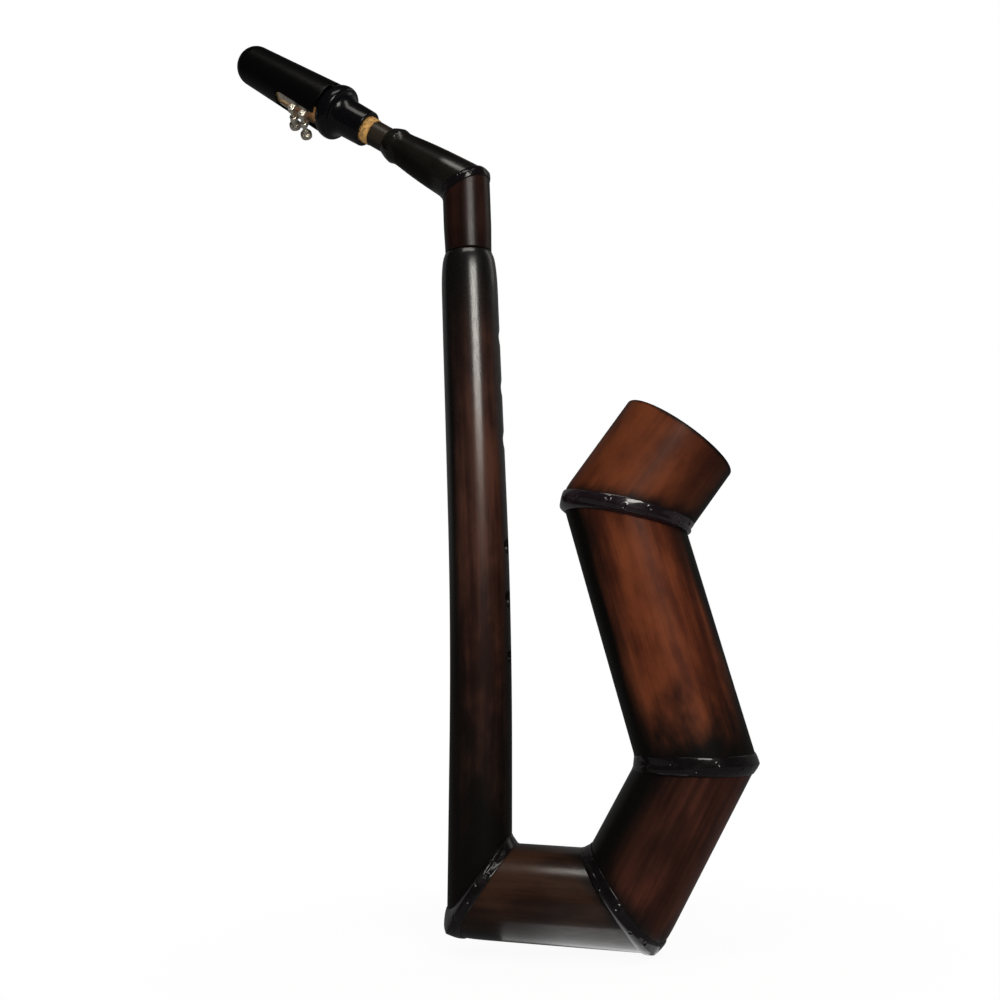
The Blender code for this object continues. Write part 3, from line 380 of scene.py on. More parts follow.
class Graph:
    """The node tree of one material or of the world."""

    def __init__(self, tree: bpy.types.NodeTree) -> None:
        """Start from an empty tree."""
        self.tree = tree
        tree.nodes.clear()

    def node(self, kind: str, settings: Mapping[str, object] | None = None,
             inputs: Mapping[int | str, object] | None = None) -> bpy.types.Node:
        """Any node.

        Args:
            kind: Blender's type of node.
            settings: its properties, set first.
            inputs: values or links by socket name or number.

        Returns:
            The node.
        """
        made = self.tree.nodes.new(kind)
        for key, value in (settings or {}).items():
            setattr(made, key, value)
        for key, value in (inputs or {}).items():
            if isinstance(value, Value):
                self.tree.links.new(value.socket, made.inputs[key])
            else:
                made.inputs[key].default_value = value
        return made

    def value(self, kind: str, output: int | str, settings: Mapping[str, object] | None = None,
              inputs: Mapping[int | str, object] | None = None) -> "Value":
        """One output of a new node."""
        return Value(self, self.node(kind, settings, inputs).outputs[output])

    def grain(self) -> "Value":
        """The place in the piece's own frame."""
        return self.value("ShaderNodeAttribute", "Vector", {"attribute_name": GRAIN})

    def vector(self, operation: str, first: "Value", second: Sequence[float], output: str = "Value") -> "Value":
        """One Vector Math node."""
        return self.value("ShaderNodeVectorMath", output, {"operation": operation}, {0: first, 1: tuple(second)})

    def dot(self, vector: "Value", direction: Sequence[float]) -> "Value":
        """The vector's part along a direction."""
        return self.vector("DOT_PRODUCT", vector, direction)

    def noise(self, vector: "Value", pattern: Pattern) -> "Value":
        """A pattern's noise."""
        return self.value("ShaderNodeTexNoise", "Fac", None, {
            "Vector": self.vector("MULTIPLY", vector, pattern.stretch, "Vector"),
            "Scale": pattern.scale, "Detail": pattern.detail, "Roughness": pattern.rough})

    def cells(self, vector: "Value", scale: float) -> "Value":
        """Distance to the nearest of scattered points."""
        return self.value("ShaderNodeTexVoronoi", "Distance", None, {"Vector": vector, "Scale": scale})

    def mix(self, share: "Value", first: "Value | Triple", second: "Value | Triple") -> "Value":
        """A colour between two."""
        one, other = (colour if isinstance(colour, Value) else (*colour, 1.0) for colour in (first, second))
        return self.value("ShaderNodeMix", 2, {"data_type": "RGBA"}, {0: share, 6: one, 7: other})

    def bump(self, height: "Value", depth: float, strength: float = 1.0) -> "Value":
        """A normal from a height, whose full range is so many metres deep."""
        return self.value("ShaderNodeBump", "Normal", None,
                          {"Height": height, "Distance": depth, "Strength": strength})

    def emission(self, level: float) -> "Value":
        """A grey of its own, seen at this level under any light."""
        return self.value("ShaderNodeEmission", 0, None, {"Color": (level, level, level, 1.0), "Strength": 1.0})

    def either(self, share: "Value", first: "Value", second: "Value") -> "Value":
        """A shader between two."""
        return self.value("ShaderNodeMixShader", 0, None, {0: share, 1: first, 2: second})

    def rays(self) -> tuple["Value", "Value", "Value"]:
        """Whether the ray comes from the camera, through glass, or off a gloss, as three shares."""
        path = self.node("ShaderNodeLightPath")
        kinds = ("Is Camera Ray", "Is Transmission Ray", "Is Glossy Ray")
        return tuple(Value(self, path.outputs[kind]) for kind in kinds)


class Value:
    """A shader socket that adds Math nodes when it is reckoned with."""

    def __init__(self, graph: Graph, socket: bpy.types.NodeSocket) -> None:
        """Wrap a node's output."""
        self.graph = graph
        self.socket = socket

    def _math(self, operation: str, first: object, second: object = 0.0) -> "Value":
        """One Math node."""
        return self.graph.value("ShaderNodeMath", 0, {"operation": operation}, {0: first, 1: second})

    def __add__(self, other: object) -> "Value":
        """self + other."""
        return self._math("ADD", self, other)

    __radd__ = __add__

    def __sub__(self, other: object) -> "Value":
        """self - other."""
        return self._math("SUBTRACT", self, other)

    def __rsub__(self, other: object) -> "Value":
        """other - self."""
        return self._math("SUBTRACT", other, self)

    def __mul__(self, other: object) -> "Value":
        """self x other."""
        return self._math("MULTIPLY", self, other)

    __rmul__ = __mul__

    def absolute(self) -> "Value":
        """Without its sign."""
        return self._math("ABSOLUTE", self)

    def least(self, other: object) -> "Value":
        """The smaller of two."""
        return self._math("MINIMUM", self, other)

    def between(self, low: float, high: float) -> "Value":
        """0 below low and 1 above high, smooth between; the other way round where low is the larger."""
        return self.graph.value("ShaderNodeMapRange", "Result", {"interpolation_type": "SMOOTHSTEP"},
                                {"Value": self, "From Min": low, "From Max": high})


def tint(colour: Triple, share: float | Triple) -> Triple:
    """The colour's channels, multiplied by one share or by one each."""
    return tuple(np.multiply(colour, share).tolist())


def new_material(name: str) -> tuple[bpy.types.Material, Graph]:
    """A material and its empty graph."""
    made = bpy.data.materials.new(name)
    made.use_nodes = True
    return made, Graph(made.node_tree)


# Finishes

@dataclass(frozen=True)
class Coating:
    """A finish of a piece, patterned on the piece's grain.

    Attributes:
        name: the material's name.
    """

    name: str

    def sockets(self, graph: Graph, grain: Value) -> dict[str, object]:
        """What goes into the Principled shader's sockets; each finish says it."""
        raise NotImplementedError

    def material(self) -> bpy.types.Material:
        """The material, with its shader and output.

        Returns:
            A new material.
        """
        made, graph = new_material(self.name)
        skin = graph.value("ShaderNodeBsdfPrincipled", 0, None, self.sockets(graph, graph.grain()))
        graph.node("ShaderNodeOutputMaterial", None, {"Surface": skin})
        return made


@dataclass(frozen=True)
class Bamboo(Coating):
    """Scorched bamboo under lacquer with lengthwise fibres: warm brown flanks facing one way fade into black flanks
    across it, partly the bamboo's own dark stain and partly painted light and shade.

    Attributes:
        warm: the bamboo's brown, shown where the painted light falls.
        painted_light_way: direction in the piece's own frame that the painted light falls from; the flank facing it
            and the flank facing away are warm, and the flanks between are painted shade.
        half_angle: degrees from that direction to the middle of the fade into painted shade.
        soft: width of the fade, as a share of the radius.
        radius: of the stem.
        ends: places of its two ends along the stem.
        cuts: normals of the planes that it is cut by there, along the stem.
        char: lengths of the scorched stretches at the two ends.
        dark: colour of the scorched ends and of the painted shade on the flanks.
        streaks: how strongly the fibres show in the colour, 0 to 1.
        satin: roughness of the wood.
        sheen: specular level of the wood.
        gloss: weight of the clear coat where it is full.
        gloss_rough: roughness of the clear coat.
        matt: places of a stretch without any coat.
        matt_fade: length over which the coat comes back beyond it.
        relief: depth of the fibres.
        deep: share of the warm colour in its darkest clouds.
        light: the same in its lightest ones.
        blotch: slow changes of the colour.
        cloud: finer ones.
        fibre: lengthwise streaks.
        hair: the finest fibres, which break up the coat.
    """

    warm: Triple
    painted_light_way: Triple = (1.0, 0.0, 0.0)
    half_angle: float = 50.0
    soft: float = 0.4
    radius: float = 0.03
    ends: Pair = (-1.0, 1.0)
    cuts: tuple[Triple, Triple] = (UP, UP)
    char: Pair = (8 * MM, 8 * MM)
    dark: Triple = (0.0034, 0.0026, 0.0021)
    streaks: float = 0.5
    satin: float = 0.30
    sheen: float = 0.25
    gloss: float = 0.3
    gloss_rough: float = 0.20
    matt: Pair | None = None
    matt_fade: float = 0.03
    relief: float = 0.06 * MM
    deep: Triple = (0.45, 0.40, 0.42)
    light: Triple = (1.25, 1.30, 1.25)
    blotch: Pattern = Pattern(26.0, 2.0, stretch=(1.0, 1.0, 0.4))
    cloud: Pattern = Pattern(70.0, stretch=(1.0, 1.0, 0.5))
    fibre: Pattern = Pattern(260.0, 4.0, 0.60, (1.0, 1.0, 0.05))
    hair: Pattern = Pattern(1700.0, 2.0, stretch=(1.0, 1.0, 0.10))

    def sockets(self, graph: Graph, grain: Value) -> dict[str, object]:
        """Painted light share = smooth step of (|facing| - cos(half angle) + noise), less the scorch at both ends;
        where it is low, the dark colour is painted shade.

        Args:
            graph: the material's nodes.
            grain: the place in the stem's own frame.

        Returns:
            Values of the shader's sockets.
        """
        blotch, cloud, fibre, hair = (graph.noise(grain, pattern)
                                      for pattern in (self.blotch, self.cloud, self.fibre, self.hair))
        # painted light and shade: how squarely the surface faces one way across the stem decides between warm brown
        # and black
        facing = graph.dot(grain, unit(np.array(self.painted_light_way)) / self.radius).absolute()
        level = facing - math.cos(math.radians(self.half_angle)) + (blotch - 0.5) * 0.5
        painted_light_share = (level + (fibre - 0.5) * 0.18).between(-self.soft / 2.0, self.soft / 2.0)
        for side, end, cut, char in zip((1.0, -1.0), self.ends, self.cuts, self.char):
            distance = graph.dot(grain, side * np.array(cut)) - side * end * cut[2]
            painted_light_share = painted_light_share * (distance + (cloud - 0.5) * char).between(0.1 * char, char)
        tone = blotch * 0.55 + cloud * 0.45 + (fibre - 0.5) * self.streaks
        warm = graph.mix(tone.between(0.36, 0.68), tint(self.warm, self.deep), tint(self.warm, self.light))
        # the dark colour fills both the scorched ends and the painted shade on the flanks
        return {"Base Color": graph.mix(painted_light_share, self.dark, warm), "Roughness": self.satin + 0.10 * fibre,
                "Specular IOR Level": self.sheen, "Normal": graph.bump(fibre * 0.6 + hair * 0.4, self.relief),
                "Coat Weight": self.coat(graph.dot(grain, UP), hair), "Coat Roughness": self.gloss_rough}

    def coat(self, place: Value, hair: Value) -> Value:
        """The coat's weight: gloss that varies with the fine fibres, and none in the matt stretch.

        Args:
            place: along the stem.
            hair: the finest fibres.

        Returns:
            The weight.
        """
        weight = self.gloss * (0.25 + 1.5 * hair)
        if not self.matt:
            return weight
        before = (self.matt[0] - place).between(0.0, self.matt_fade)
        return weight * (before + (place - self.matt[1]).between(0.0, self.matt_fade))


@dataclass(frozen=True)
class Lacquer(Coating):
    """Black resin and thread over a seam, glossy and lumpy.

    Attributes:
        colour: of the resin; its clouds are 2.2 times as light.
        rough: least roughness of the resin.
        gloss: weight of the clear coat.
    """

    colour: Triple = (0.0042, 0.0030, 0.0034)
    rough: float = 0.24
    gloss: float = 0.55

    def sockets(self, graph: Graph, grain: Value) -> dict[str, object]:
        """Black with faint brown clouds; the bump adds soft lumps of 4 mm."""
        lumps, cloud = graph.noise(grain, Pattern(240.0, 1.0)), graph.noise(grain, Pattern(90.0, 2.0))
        return {"Base Color": graph.mix(cloud.between(0.50, 0.75), self.colour, tint(self.colour, 2.2)),
                "Roughness": self.rough + 0.12 * cloud.between(0.35, 0.7), "Specular IOR Level": 0.07,
                "Normal": graph.bump(lumps, 0.3 * MM, 0.3), "Coat Weight": self.gloss, "Coat Roughness": 0.11}


@dataclass(frozen=True)
class Cork(Coating):
    """Pressed cork: tan grains with dark pores."""

    colour: Triple = (0.42, 0.225, 0.060)
    pore: Triple = (0.045, 0.020, 0.009)

    def sockets(self, graph: Graph, grain: Value) -> dict[str, object]:
        """Grains of 2 mm in two tans, pores where the cells' distance is small."""
        cloud = graph.noise(grain, Pattern(420.0, 4.0, 0.6))
        pores = graph.cells(grain, 520.0) + (cloud - 0.5) * 0.5
        tan = graph.mix(cloud.between(0.35, 0.68), tint(self.colour, 0.62), tint(self.colour, 1.35))
        return {"Base Color": graph.mix(pores.between(0.20, 0.06), tan, self.pore), "Roughness": 0.8,
                "Normal": graph.bump(pores.between(0.0, 0.45), 0.5 * MM, 0.6)}


@dataclass(frozen=True)
class HardRubber(Coating):
    """Turned ebonite, polished."""

    colour: Triple = (0.0022, 0.0022, 0.0028)
    rough: float = 0.22

    def sockets(self, graph: Graph, grain: Value) -> dict[str, object]:
        """Near black; fine handling marks raise the roughness a little."""
        marks = graph.noise(grain, Pattern(700.0, 4.0, stretch=(1.0, 1.0, 0.4)))
        return {"Base Color": (*self.colour, 1.0), "Roughness": self.rough + 0.12 * marks.between(0.45, 0.8),
                "Specular IOR Level": 0.15, "Normal": graph.bump(marks, 0.06 * MM, 0.5),
                "Coat Weight": 0.22, "Coat Roughness": 0.07}


@dataclass(frozen=True)
class CapPlastic(Coating):
    """Black moulded cap with a satin skin."""

    colour: Triple = (0.0014, 0.0014, 0.0014)
    rough: float = 0.27

    def sockets(self, graph: Graph, grain: Value) -> dict[str, object]:
        """Near black, with a soft mottle in its gloss and a fine moulded texture."""
        mottle, skin = graph.noise(grain, Pattern(260.0)), graph.noise(grain, Pattern(2600.0, 2.0))
        return {"Base Color": (*self.colour, 1.0), "Roughness": self.rough + 0.14 * mottle,
                "Specular IOR Level": 0.12, "Normal": graph.bump(skin, 0.06 * MM, 0.4)}


@dataclass(frozen=True)
class Cane(Coating):
    """Reed cane: orange tan bark, with fine lengthwise fibres and a paler scrape from the vamp on."""

    vamp: float
    bark: Triple = (0.36, 0.160, 0.055)
    scrape: Triple = (0.50, 0.33, 0.15)

    def sockets(self, graph: Graph, grain: Value) -> dict[str, object]:
        """Bark before the vamp's start and pale scraped cane after it, both darker between the fibres."""
        fibre = graph.noise(grain, Pattern(1500.0, 3.0, 0.6, (1.0, 1.0, 0.03)))
        cloud = graph.noise(grain, Pattern(240.0, stretch=(1.0, 1.0, 0.2)))
        tone = (fibre * 0.6 + cloud * 0.4).between(0.35, 0.65)
        bare = graph.dot(grain, UP).between(self.vamp - 1 * MM, self.vamp + 1 * MM)
        bark = graph.mix(tone, tint(self.bark, 0.55), tint(self.bark, 1.3))
        pale = graph.mix(tone, tint(self.scrape, 0.75), self.scrape)
        return {"Base Color": graph.mix(bare, bark, pale), "Roughness": 0.45 + 0.2 * fibre,
                "Normal": graph.bump(fibre, 0.12 * MM, 0.6), "Coat Weight": 0.15, "Coat Roughness": 0.3}


@dataclass(frozen=True)
class Nickel(Coating):
    """Handled nickel plate with a faint warm tarnish."""

    colour: Triple = (0.86, 0.81, 0.70)
    tarnish: Triple = (0.62, 0.53, 0.42)
    rough: float = 0.36

    def sockets(self, graph: Graph, grain: Value) -> dict[str, object]:
        """Plate colour clouded by tarnish; fine scratches in the bump."""
        tarnish = graph.noise(grain, Pattern(420.0, 4.0, 0.6))
        scratch = graph.noise(grain, Pattern(3800.0, 2.0, stretch=(1.0, 0.15, 1.0)))
        warm = tint(self.colour, self.tarnish)
        return {"Base Color": graph.mix(tarnish.between(0.50, 0.75), self.colour, warm), "Metallic": 1.0,
                "Roughness": self.rough + 0.22 * tarnish.between(0.4, 0.75),
                "Normal": graph.bump(scratch, 0.03 * MM, 0.5)}


BLACK_LACQUER = Lacquer("collar_black")
VIOLET_LACQUER = Lacquer("collar_violet", (0.0075, 0.0042, 0.0058), 0.30, 1.0)


# The joints of the tubes

@dataclass
class Mitre:
    """The joint of two round tubes of unlike radius whose axes meet at a centre.

    Both are cut by one plane through the centre and through both corners, where their outlines
    cross, swung about the centre by some degrees. The outer corner is filed by trim, softly.
    """

    centre: Array
    arriving: Array
    leaving: Array
    radius_in: float
    radius_out: float
    half_width: float
    trim: float
    swing: float = 0.0
    soft: float = 0.8 * MM

    def __post_init__(self) -> None:
        """Find the plane and how far the outer corners stand from the centre.

        With n1 and n2 the tubes' outer normals and b = n1 . n2, the outlines cross at
        ((r1 - r2 b) n1 + (r2 - r1 b) n2) / (1 - b^2).
        """
        self.sideways = unit(np.cross(self.arriving, self.leaving))
        if self.sideways[1] > 0.0:
            self.sideways = -self.sideways
        self.normal_in, self.normal_out = (self.outer_normal(way) for way in (self.arriving, self.leaving))
        bend = float(self.normal_in @ self.normal_out)
        share_in = (self.radius_in - self.radius_out * bend) / (1.0 - bend * bend)
        share_out = (self.radius_out - self.radius_in * bend) / (1.0 - bend * bend)
        corner = unit(self.normal_in * share_in + self.normal_out * share_out)
        turn = math.radians(self.swing)
        self.outward = corner * math.cos(turn) + np.cross(self.sideways, corner) * math.sin(turn)
        self.reach_in = self.radius_in / float(self.normal_in @ self.outward)
        self.reach_out = self.radius_out / float(self.normal_out @ self.outward)
        self.reach = max(self.reach_in, self.reach_out)
        self.plane = np.cross(self.outward, self.sideways)
        if self.plane @ (self.arriving + self.leaving) < 0.0:
            self.plane = -self.plane

    def outer_normal(self, way: Array) -> Array:
        """Normal of a tube's outline on the outer side of the turn."""
        normal = unit(np.cross(way, self.sideways))
        return normal if normal @ (self.arriving - self.leaving) > 0.0 else -normal

    def filed(self, points: Array, level: float) -> Array:
        """The points with the outer corner rounded off at reach - trim + level.

        What stands x beyond that is set back by the soft excess s ln(1 + e^(x / s)).

        Args:
            points: in the row's frame.
            level: added to where the corner is filed.

        Returns:
            The points, set back.
        """
        beyond = (points - self.centre) @ self.outward - (self.reach - self.trim + level)
        excess = self.soft * np.logaddexp(0.0, beyond / self.soft)
        return points - excess[..., None] * self.outward

    def meet(self, points: Callable[[Array], Array], guess: float, way: Sequence[float], side: float) -> Array:
        """Places at which a tube's lines meet the plane, by Newton steps.

        Args:
            points: gives a point on each line from its place.
            guess: a place to start from.
            way: direction of the lines.
            side: 1 for the tube that arrives, -1 for the one that leaves; each ends a seam short.

        Returns:
            The places, one for each angle.
        """
        place = np.full(AROUND, guess)
        for _ in range(NEWTON_STEPS):
            miss = (points(place) - self.centre) @ self.plane + side * SEAM
            place = place - miss / float(np.array(way) @ self.plane)
        return place


@dataclass
class Stem:
    """A round tube along a line between two ends, each a mitre or a free rim.

    Attributes:
        way: the line's direction.
        length: between the two ends' centres.
        first: radius at the start.
        last: radius at the end.
        wall: thickness.
        starts: the mitre that it leaves.
        ends: the mitre that it arrives at, or None for a free rim.
        seed: shifts the unevenness of its surface.
        rim_edge: radius of the free rim's rounded edges.
        uneven: depth of that unevenness.
        rows: steps along it.
    """

    way: Array
    length: float
    first: float
    last: float
    wall: float
    starts: Mitre
    ends: Mitre | None
    seed: float
    rim_edge: float = 1.3 * MM
    uneven: float = 0.16 * MM
    rows: int = 72

    def __post_init__(self) -> None:
        """Stand it on its first mitre."""
        self.pose = Pose(self.starts.centre, self.way)

    def radius(self, place: float | Array) -> float | Array:
        """The taper's radius at a place along the line."""
        return blend(self.first, self.last, place / self.length)

    def meet(self, mitre: Mitre, inset: float, guess: float, side: float) -> Array:
        """Places at which the tube of this inset meets a mitre's plane."""
        return mitre.meet(lambda place: self.pose.world(ring(self.radius(place) - inset, turns(), place)),
                          guess, self.way, side)

    def sections(self) -> Array:
        """Local rows round the wall: outside from start to end, the rim or seam, and back inside.

        Returns:
            Array (rows, columns, 3).
        """
        turn, share = turns(), smooth_rows(self.rows)
        outer_start, inner_start = (self.meet(self.starts, inset, 0.0, -1.0) for inset in (0.0, self.wall))
        outer_end = inner_end = np.full(AROUND, self.length - self.rim_edge)
        if self.ends:
            outer_end, inner_end = (self.meet(self.ends, inset, self.length, 1.0) for inset in (0.0, self.wall))
        rows = []
        for step in share:
            place = blend(outer_start, outer_end, step)
            grown = self.uneven * ripple(turn, place, self.seed)
            rows.append(ring(self.radius(place) + grown, turn, place))
        if not self.ends:
            rows += self.rim()
        for step in share[::-1]:
            place = blend(inner_start, inner_end, step)
            rows.append(ring(self.radius(place) - self.wall, turn, place))
        return np.array(rows)

    def rim(self) -> list[Array]:
        """Rows over the free end: a quarter round, the flat, and a quarter round.

        Returns:
            The rows, from outside to inside.
        """
        outside = float(self.radius(self.length))
        inside = outside - self.wall
        edge, level = self.rim_edge, self.length - self.rim_edge
        line = arc((outside - edge, level), (edge, edge), 0.0, 90.0, 7)[1:]
        line += arc((inside + edge, level), (edge, edge), 90.0, 180.0, 7)[:-1]
        wobble = self.uneven * ripple(turns(), self.length, self.seed)
        return [ring(radius + wobble * smoothstep(inside, outside, radius), turns(), place)
                for radius, place in line]

    def build(self, name: str) -> bpy.types.Object:
        """The tube, with its filed corners set back under the collars."""
        local = self.sections()
        points = self.starts.filed(self.pose.world(local), TUBE_CORNER)
        return loft(name, self.ends.filed(points, TUBE_CORNER) if self.ends else points, local, closed=True)


@dataclass
class Collar:
    """Thread and resin over a mitre, with a raised crest and sunken pegs.

    Attributes:
        mitre: the joint that it covers.
        pegs: angles of the pegs, in degrees from the outside of the turn, the front ones positive.
        seed: shifts its lumps.
        height: of the crest above the tubes.
        swell: what is added to the height at the outer corner.
        spread: share by which the collar is wider there.
        pinch: share by which it is narrower at the inner corner.
        edge: height at which it ends over a tube.
        ledge: extra width over the thinner tube, as a share of the step between both.
        boxy: exponent of the section; below 1 it is flat with round edges.
        flared: the exponent at the outer corner.
        sunk: share of the height that is missing at the inner corner.
        lumps: depth of the unevenness.
        rows: steps round it.
        half_rows: steps from an edge to the crest.
        peg_radius: of a sunken peg.
        peg_rim: height of the lip round it.
        peg_depth: depth of the pit.
    """

    mitre: Mitre
    pegs: tuple[float, ...]
    seed: float
    height: float = 1.0 * MM
    swell: float = 0.5 * MM
    spread: float = 0.4
    pinch: float = 0.25
    edge: float = 0.2 * MM
    ledge: float = 0.15
    boxy: float = 0.75
    flared: float = 1.3
    sunk: float = 0.75
    lumps: float = 0.035 * MM
    rows: int = 720
    half_rows: int = 22
    peg_radius: float = 1.5 * MM
    peg_rim: float = 0.24 * MM
    peg_depth: float = 0.55 * MM

    def arms(self, across: Array, side: Array) -> list[tuple]:
        """How the collar lies on each of the two tubes.

        Args:
            across: cosines of the angles from the outer corner.
            side: their sines.

        Returns:
            For each tube: seam line, direction away from it, normal, and half the collar's width.
        """
        mitre = self.mitre
        ledge = abs(mitre.radius_in - mitre.radius_out) * np.abs(side) * self.ledge
        inner, outer = np.maximum(0.0, -across) ** 2, np.maximum(0.0, across) ** 4
        made = []
        for direction, normal, radius, other, reach in (
            (-mitre.arriving, mitre.normal_in, mitre.radius_in, mitre.radius_out, mitre.reach_in),
            (mitre.leaving, mitre.normal_out, mitre.radius_out, mitre.radius_in, mitre.reach_out),
        ):
            seam = mitre.centre + reach * across * mitre.outward + radius * side * mitre.sideways
            width = (1.0 - self.pinch * inner + self.spread * outer) * mitre.half_width
            width = width / abs(float(direction @ mitre.plane)) + (ledge if radius < other else 0.0)
            made.append((seam, direction, normal * across + mitre.sideways * side, width))
        return made

    def surface(self, turn: Array) -> tuple[Array, Array]:
        """Outer rows from one tube's edge over the crest to the other's, and their outward normals.

        Each half is a superellipse between the tube's surface and the crest: the place away from
        the seam is width cos(b)^k and the level is edge + (height - edge) sin(b)^k. The exponent k
        grows from boxy to flared at the outer corner, where the collar stands out of the tubes.

        Args:
            turn: angles from the outer corner.

        Returns:
            Points and normals, each (angles, steps, 3).
        """
        across, side = np.cos(turn)[:, None], np.sin(turn)[:, None]
        mitre, outer = self.mitre, np.maximum(0.0, across) ** 4
        height = self.height * (1.0 - self.sunk * np.maximum(0.0, -across) ** 2) + self.swell * outer
        power = blend(self.boxy, self.flared, outer)
        arms = self.arms(across, side)
        outward = arms[0][2] + arms[1][2]
        outward /= np.linalg.norm(outward, axis=1, keepdims=True)
        wide = max(mitre.radius_in, mitre.radius_out)
        crest = (mitre.centre + mitre.reach * across * mitre.outward + wide * side * mitre.sideways
                 + outward * height)
        halves = []
        for seam, direction, normal, width in arms:
            lift = crest - (seam + normal * height)
            rows = []
            for bend in np.linspace(0.0, math.pi / 2.0, self.half_rows + 1):
                away = width * max(math.cos(bend), 0.0) ** power
                level = blend(self.edge, height, max(math.sin(bend), 0.0) ** power)
                rows.append(seam + direction * away + normal * level + lift * math.sin(bend) ** 2)
            halves.append(rows)
        points = mitre.filed(np.array(halves[0] + halves[1][-2::-1]), COLLAR_CORNER)
        normals = np.repeat(outward[None], len(points), axis=0)
        return np.swapaxes(points, 0, 1), np.swapaxes(normals, 0, 1)

    def build(self, name: str) -> bpy.types.Object:
        """The collar: outer rows displaced by lumps and pegs, closed by an inner row under each edge.

        Args:
            name: the piece's name.

        Returns:
            The object.
        """
        turn = turns(self.rows)
        points, normals = self.surface(turn)
        points = points + normals * (self.lump(points) + self.craters(points))[..., None]
        first, last = (self.mitre.filed(seam + direction * width * 0.96 + normal * -0.1 * MM, TUBE_CORNER)[:, None]
                       for seam, direction, normal, width in self.arms(np.cos(turn)[:, None], np.sin(turn)[:, None]))
        return loft(name, np.concatenate([first, points, last], axis=1), closed=True)

    def lump(self, points: Array) -> Array:
        """Hand-made unevenness: a sum of sines of the place, in metres.

        Args:
            points: in the row's frame.

        Returns:
            The height at each point.
        """
        x, y, z = (points[..., axis] / MM for axis in range(3))
        waves = np.sin(0.42 * x + 0.51 * y + self.seed) * np.sin(0.47 * z - 0.28 * x + 2.0 * self.seed)
        waves += 0.5 * np.sin(0.95 * y + 0.8 * z + 3.0 * self.seed) * np.sin(0.85 * x - 0.6 * z)
        return self.lumps * waves

    def craters(self, points: Array) -> Array:
        """Each peg: a rim exp(-((d - r) / w)^2) round a pit -depth exp(-(d / r')^4) with a low dome in it.

        Args:
            points: in the row's frame.

        Returns:
            The height at each point.
        """
        total = np.zeros(points.shape[:-1])
        for index, degrees in enumerate(self.pegs):
            sway = 3 if index % 2 else -2
            centre = self.surface(np.radians([degrees]))[0][0, self.half_rows + sway]
            distance = np.linalg.norm(points - centre, axis=-1)
            radius = self.peg_radius * (1.0 + 0.18 * math.sin(2.3 * index + self.seed))
            total += self.peg_rim * np.exp(-((distance - radius) / (0.40 * MM)) ** 2)
            total -= self.peg_depth * np.exp(-(distance / (0.72 * radius)) ** 4)
            total += 0.4 * self.peg_depth * np.exp(-(distance / (0.35 * radius)) ** 2)
        return total


# Sub-assemblies

class Assembly:
    """Dresses pieces: each rides on its body, stands in for its node, which is hidden, and takes its finish."""

    def dress(self, made: bpy.types.Object, finish: bpy.types.Material, slot: Finish, body: str, node: str,
              sharp: float = 40.0) -> None:
        """Give a piece its edges, material and body, and hide the node that it stands for.

        Args:
            made: the piece.
            finish: its material.
            slot: the record's slot; not used.
            body: the body that it rides on.
            node: the node that it replaces.
            sharp: degrees above which an edge is sharp.
        """
        made.data.shade_smooth()
        made.data.set_sharp_from_angle(angle=math.radians(sharp))
        made.data.materials.clear()
        made.data.materials.append(finish)
        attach(made, body)
        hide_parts(node)
        LOG.info("%s: %d faces on %s", made.name, len(made.data.polygons), body)


@dataclass(frozen=True)
class Tube:
    """One tube after the foot; its sizes are in millimetres.

    Attributes:
        node: the node that it stands for.
        slot: the record's slot.
        angle: degrees from +Z towards +X.
        length: between its ends' centres.
        first: radius at its start.
        last: radius at its end.
        wall: thickness.
        seed: shifts its unevenness.
        painted_light_way: the direction that its painted light falls from, which its warm side faces.
        look: the rest of its Bamboo's attributes.
        lean: degrees by which it leans back.
    """

    node: str
    slot: Finish
    angle: float
    length: float
    first: float
    last: float
    wall: float
    seed: float
    painted_light_way: Triple
    look: Mapping[str, object]
    lean: float = 0.0


@dataclass(frozen=True)
class Joint:
    """The mitre before a tube and its collar; its sizes are in millimetres.

    Attributes:
        node: the node that the collar stands for.
        half_width: of the collar.
        trim: how much of the outer corner is filed away.
        soft: softness of the filed corner.
        pegs: angles of the collar's pegs.
        seed: shifts its lumps.
        swell: added height at the outer corner.
        spread: added width there, as a share.
        swing: degrees by which the plane is swung.
        lacquer: the collar's finish.
    """

    node: str
    half_width: float
    trim: float
    soft: float
    pegs: tuple[float, ...]
    seed: float
    swell: float
    spread: float
    swing: float = 0.0
    lacquer: Lacquer = BLACK_LACQUER


BROWN = {"satin": 0.40, "sheen": 0.07, "gloss": 0.02}
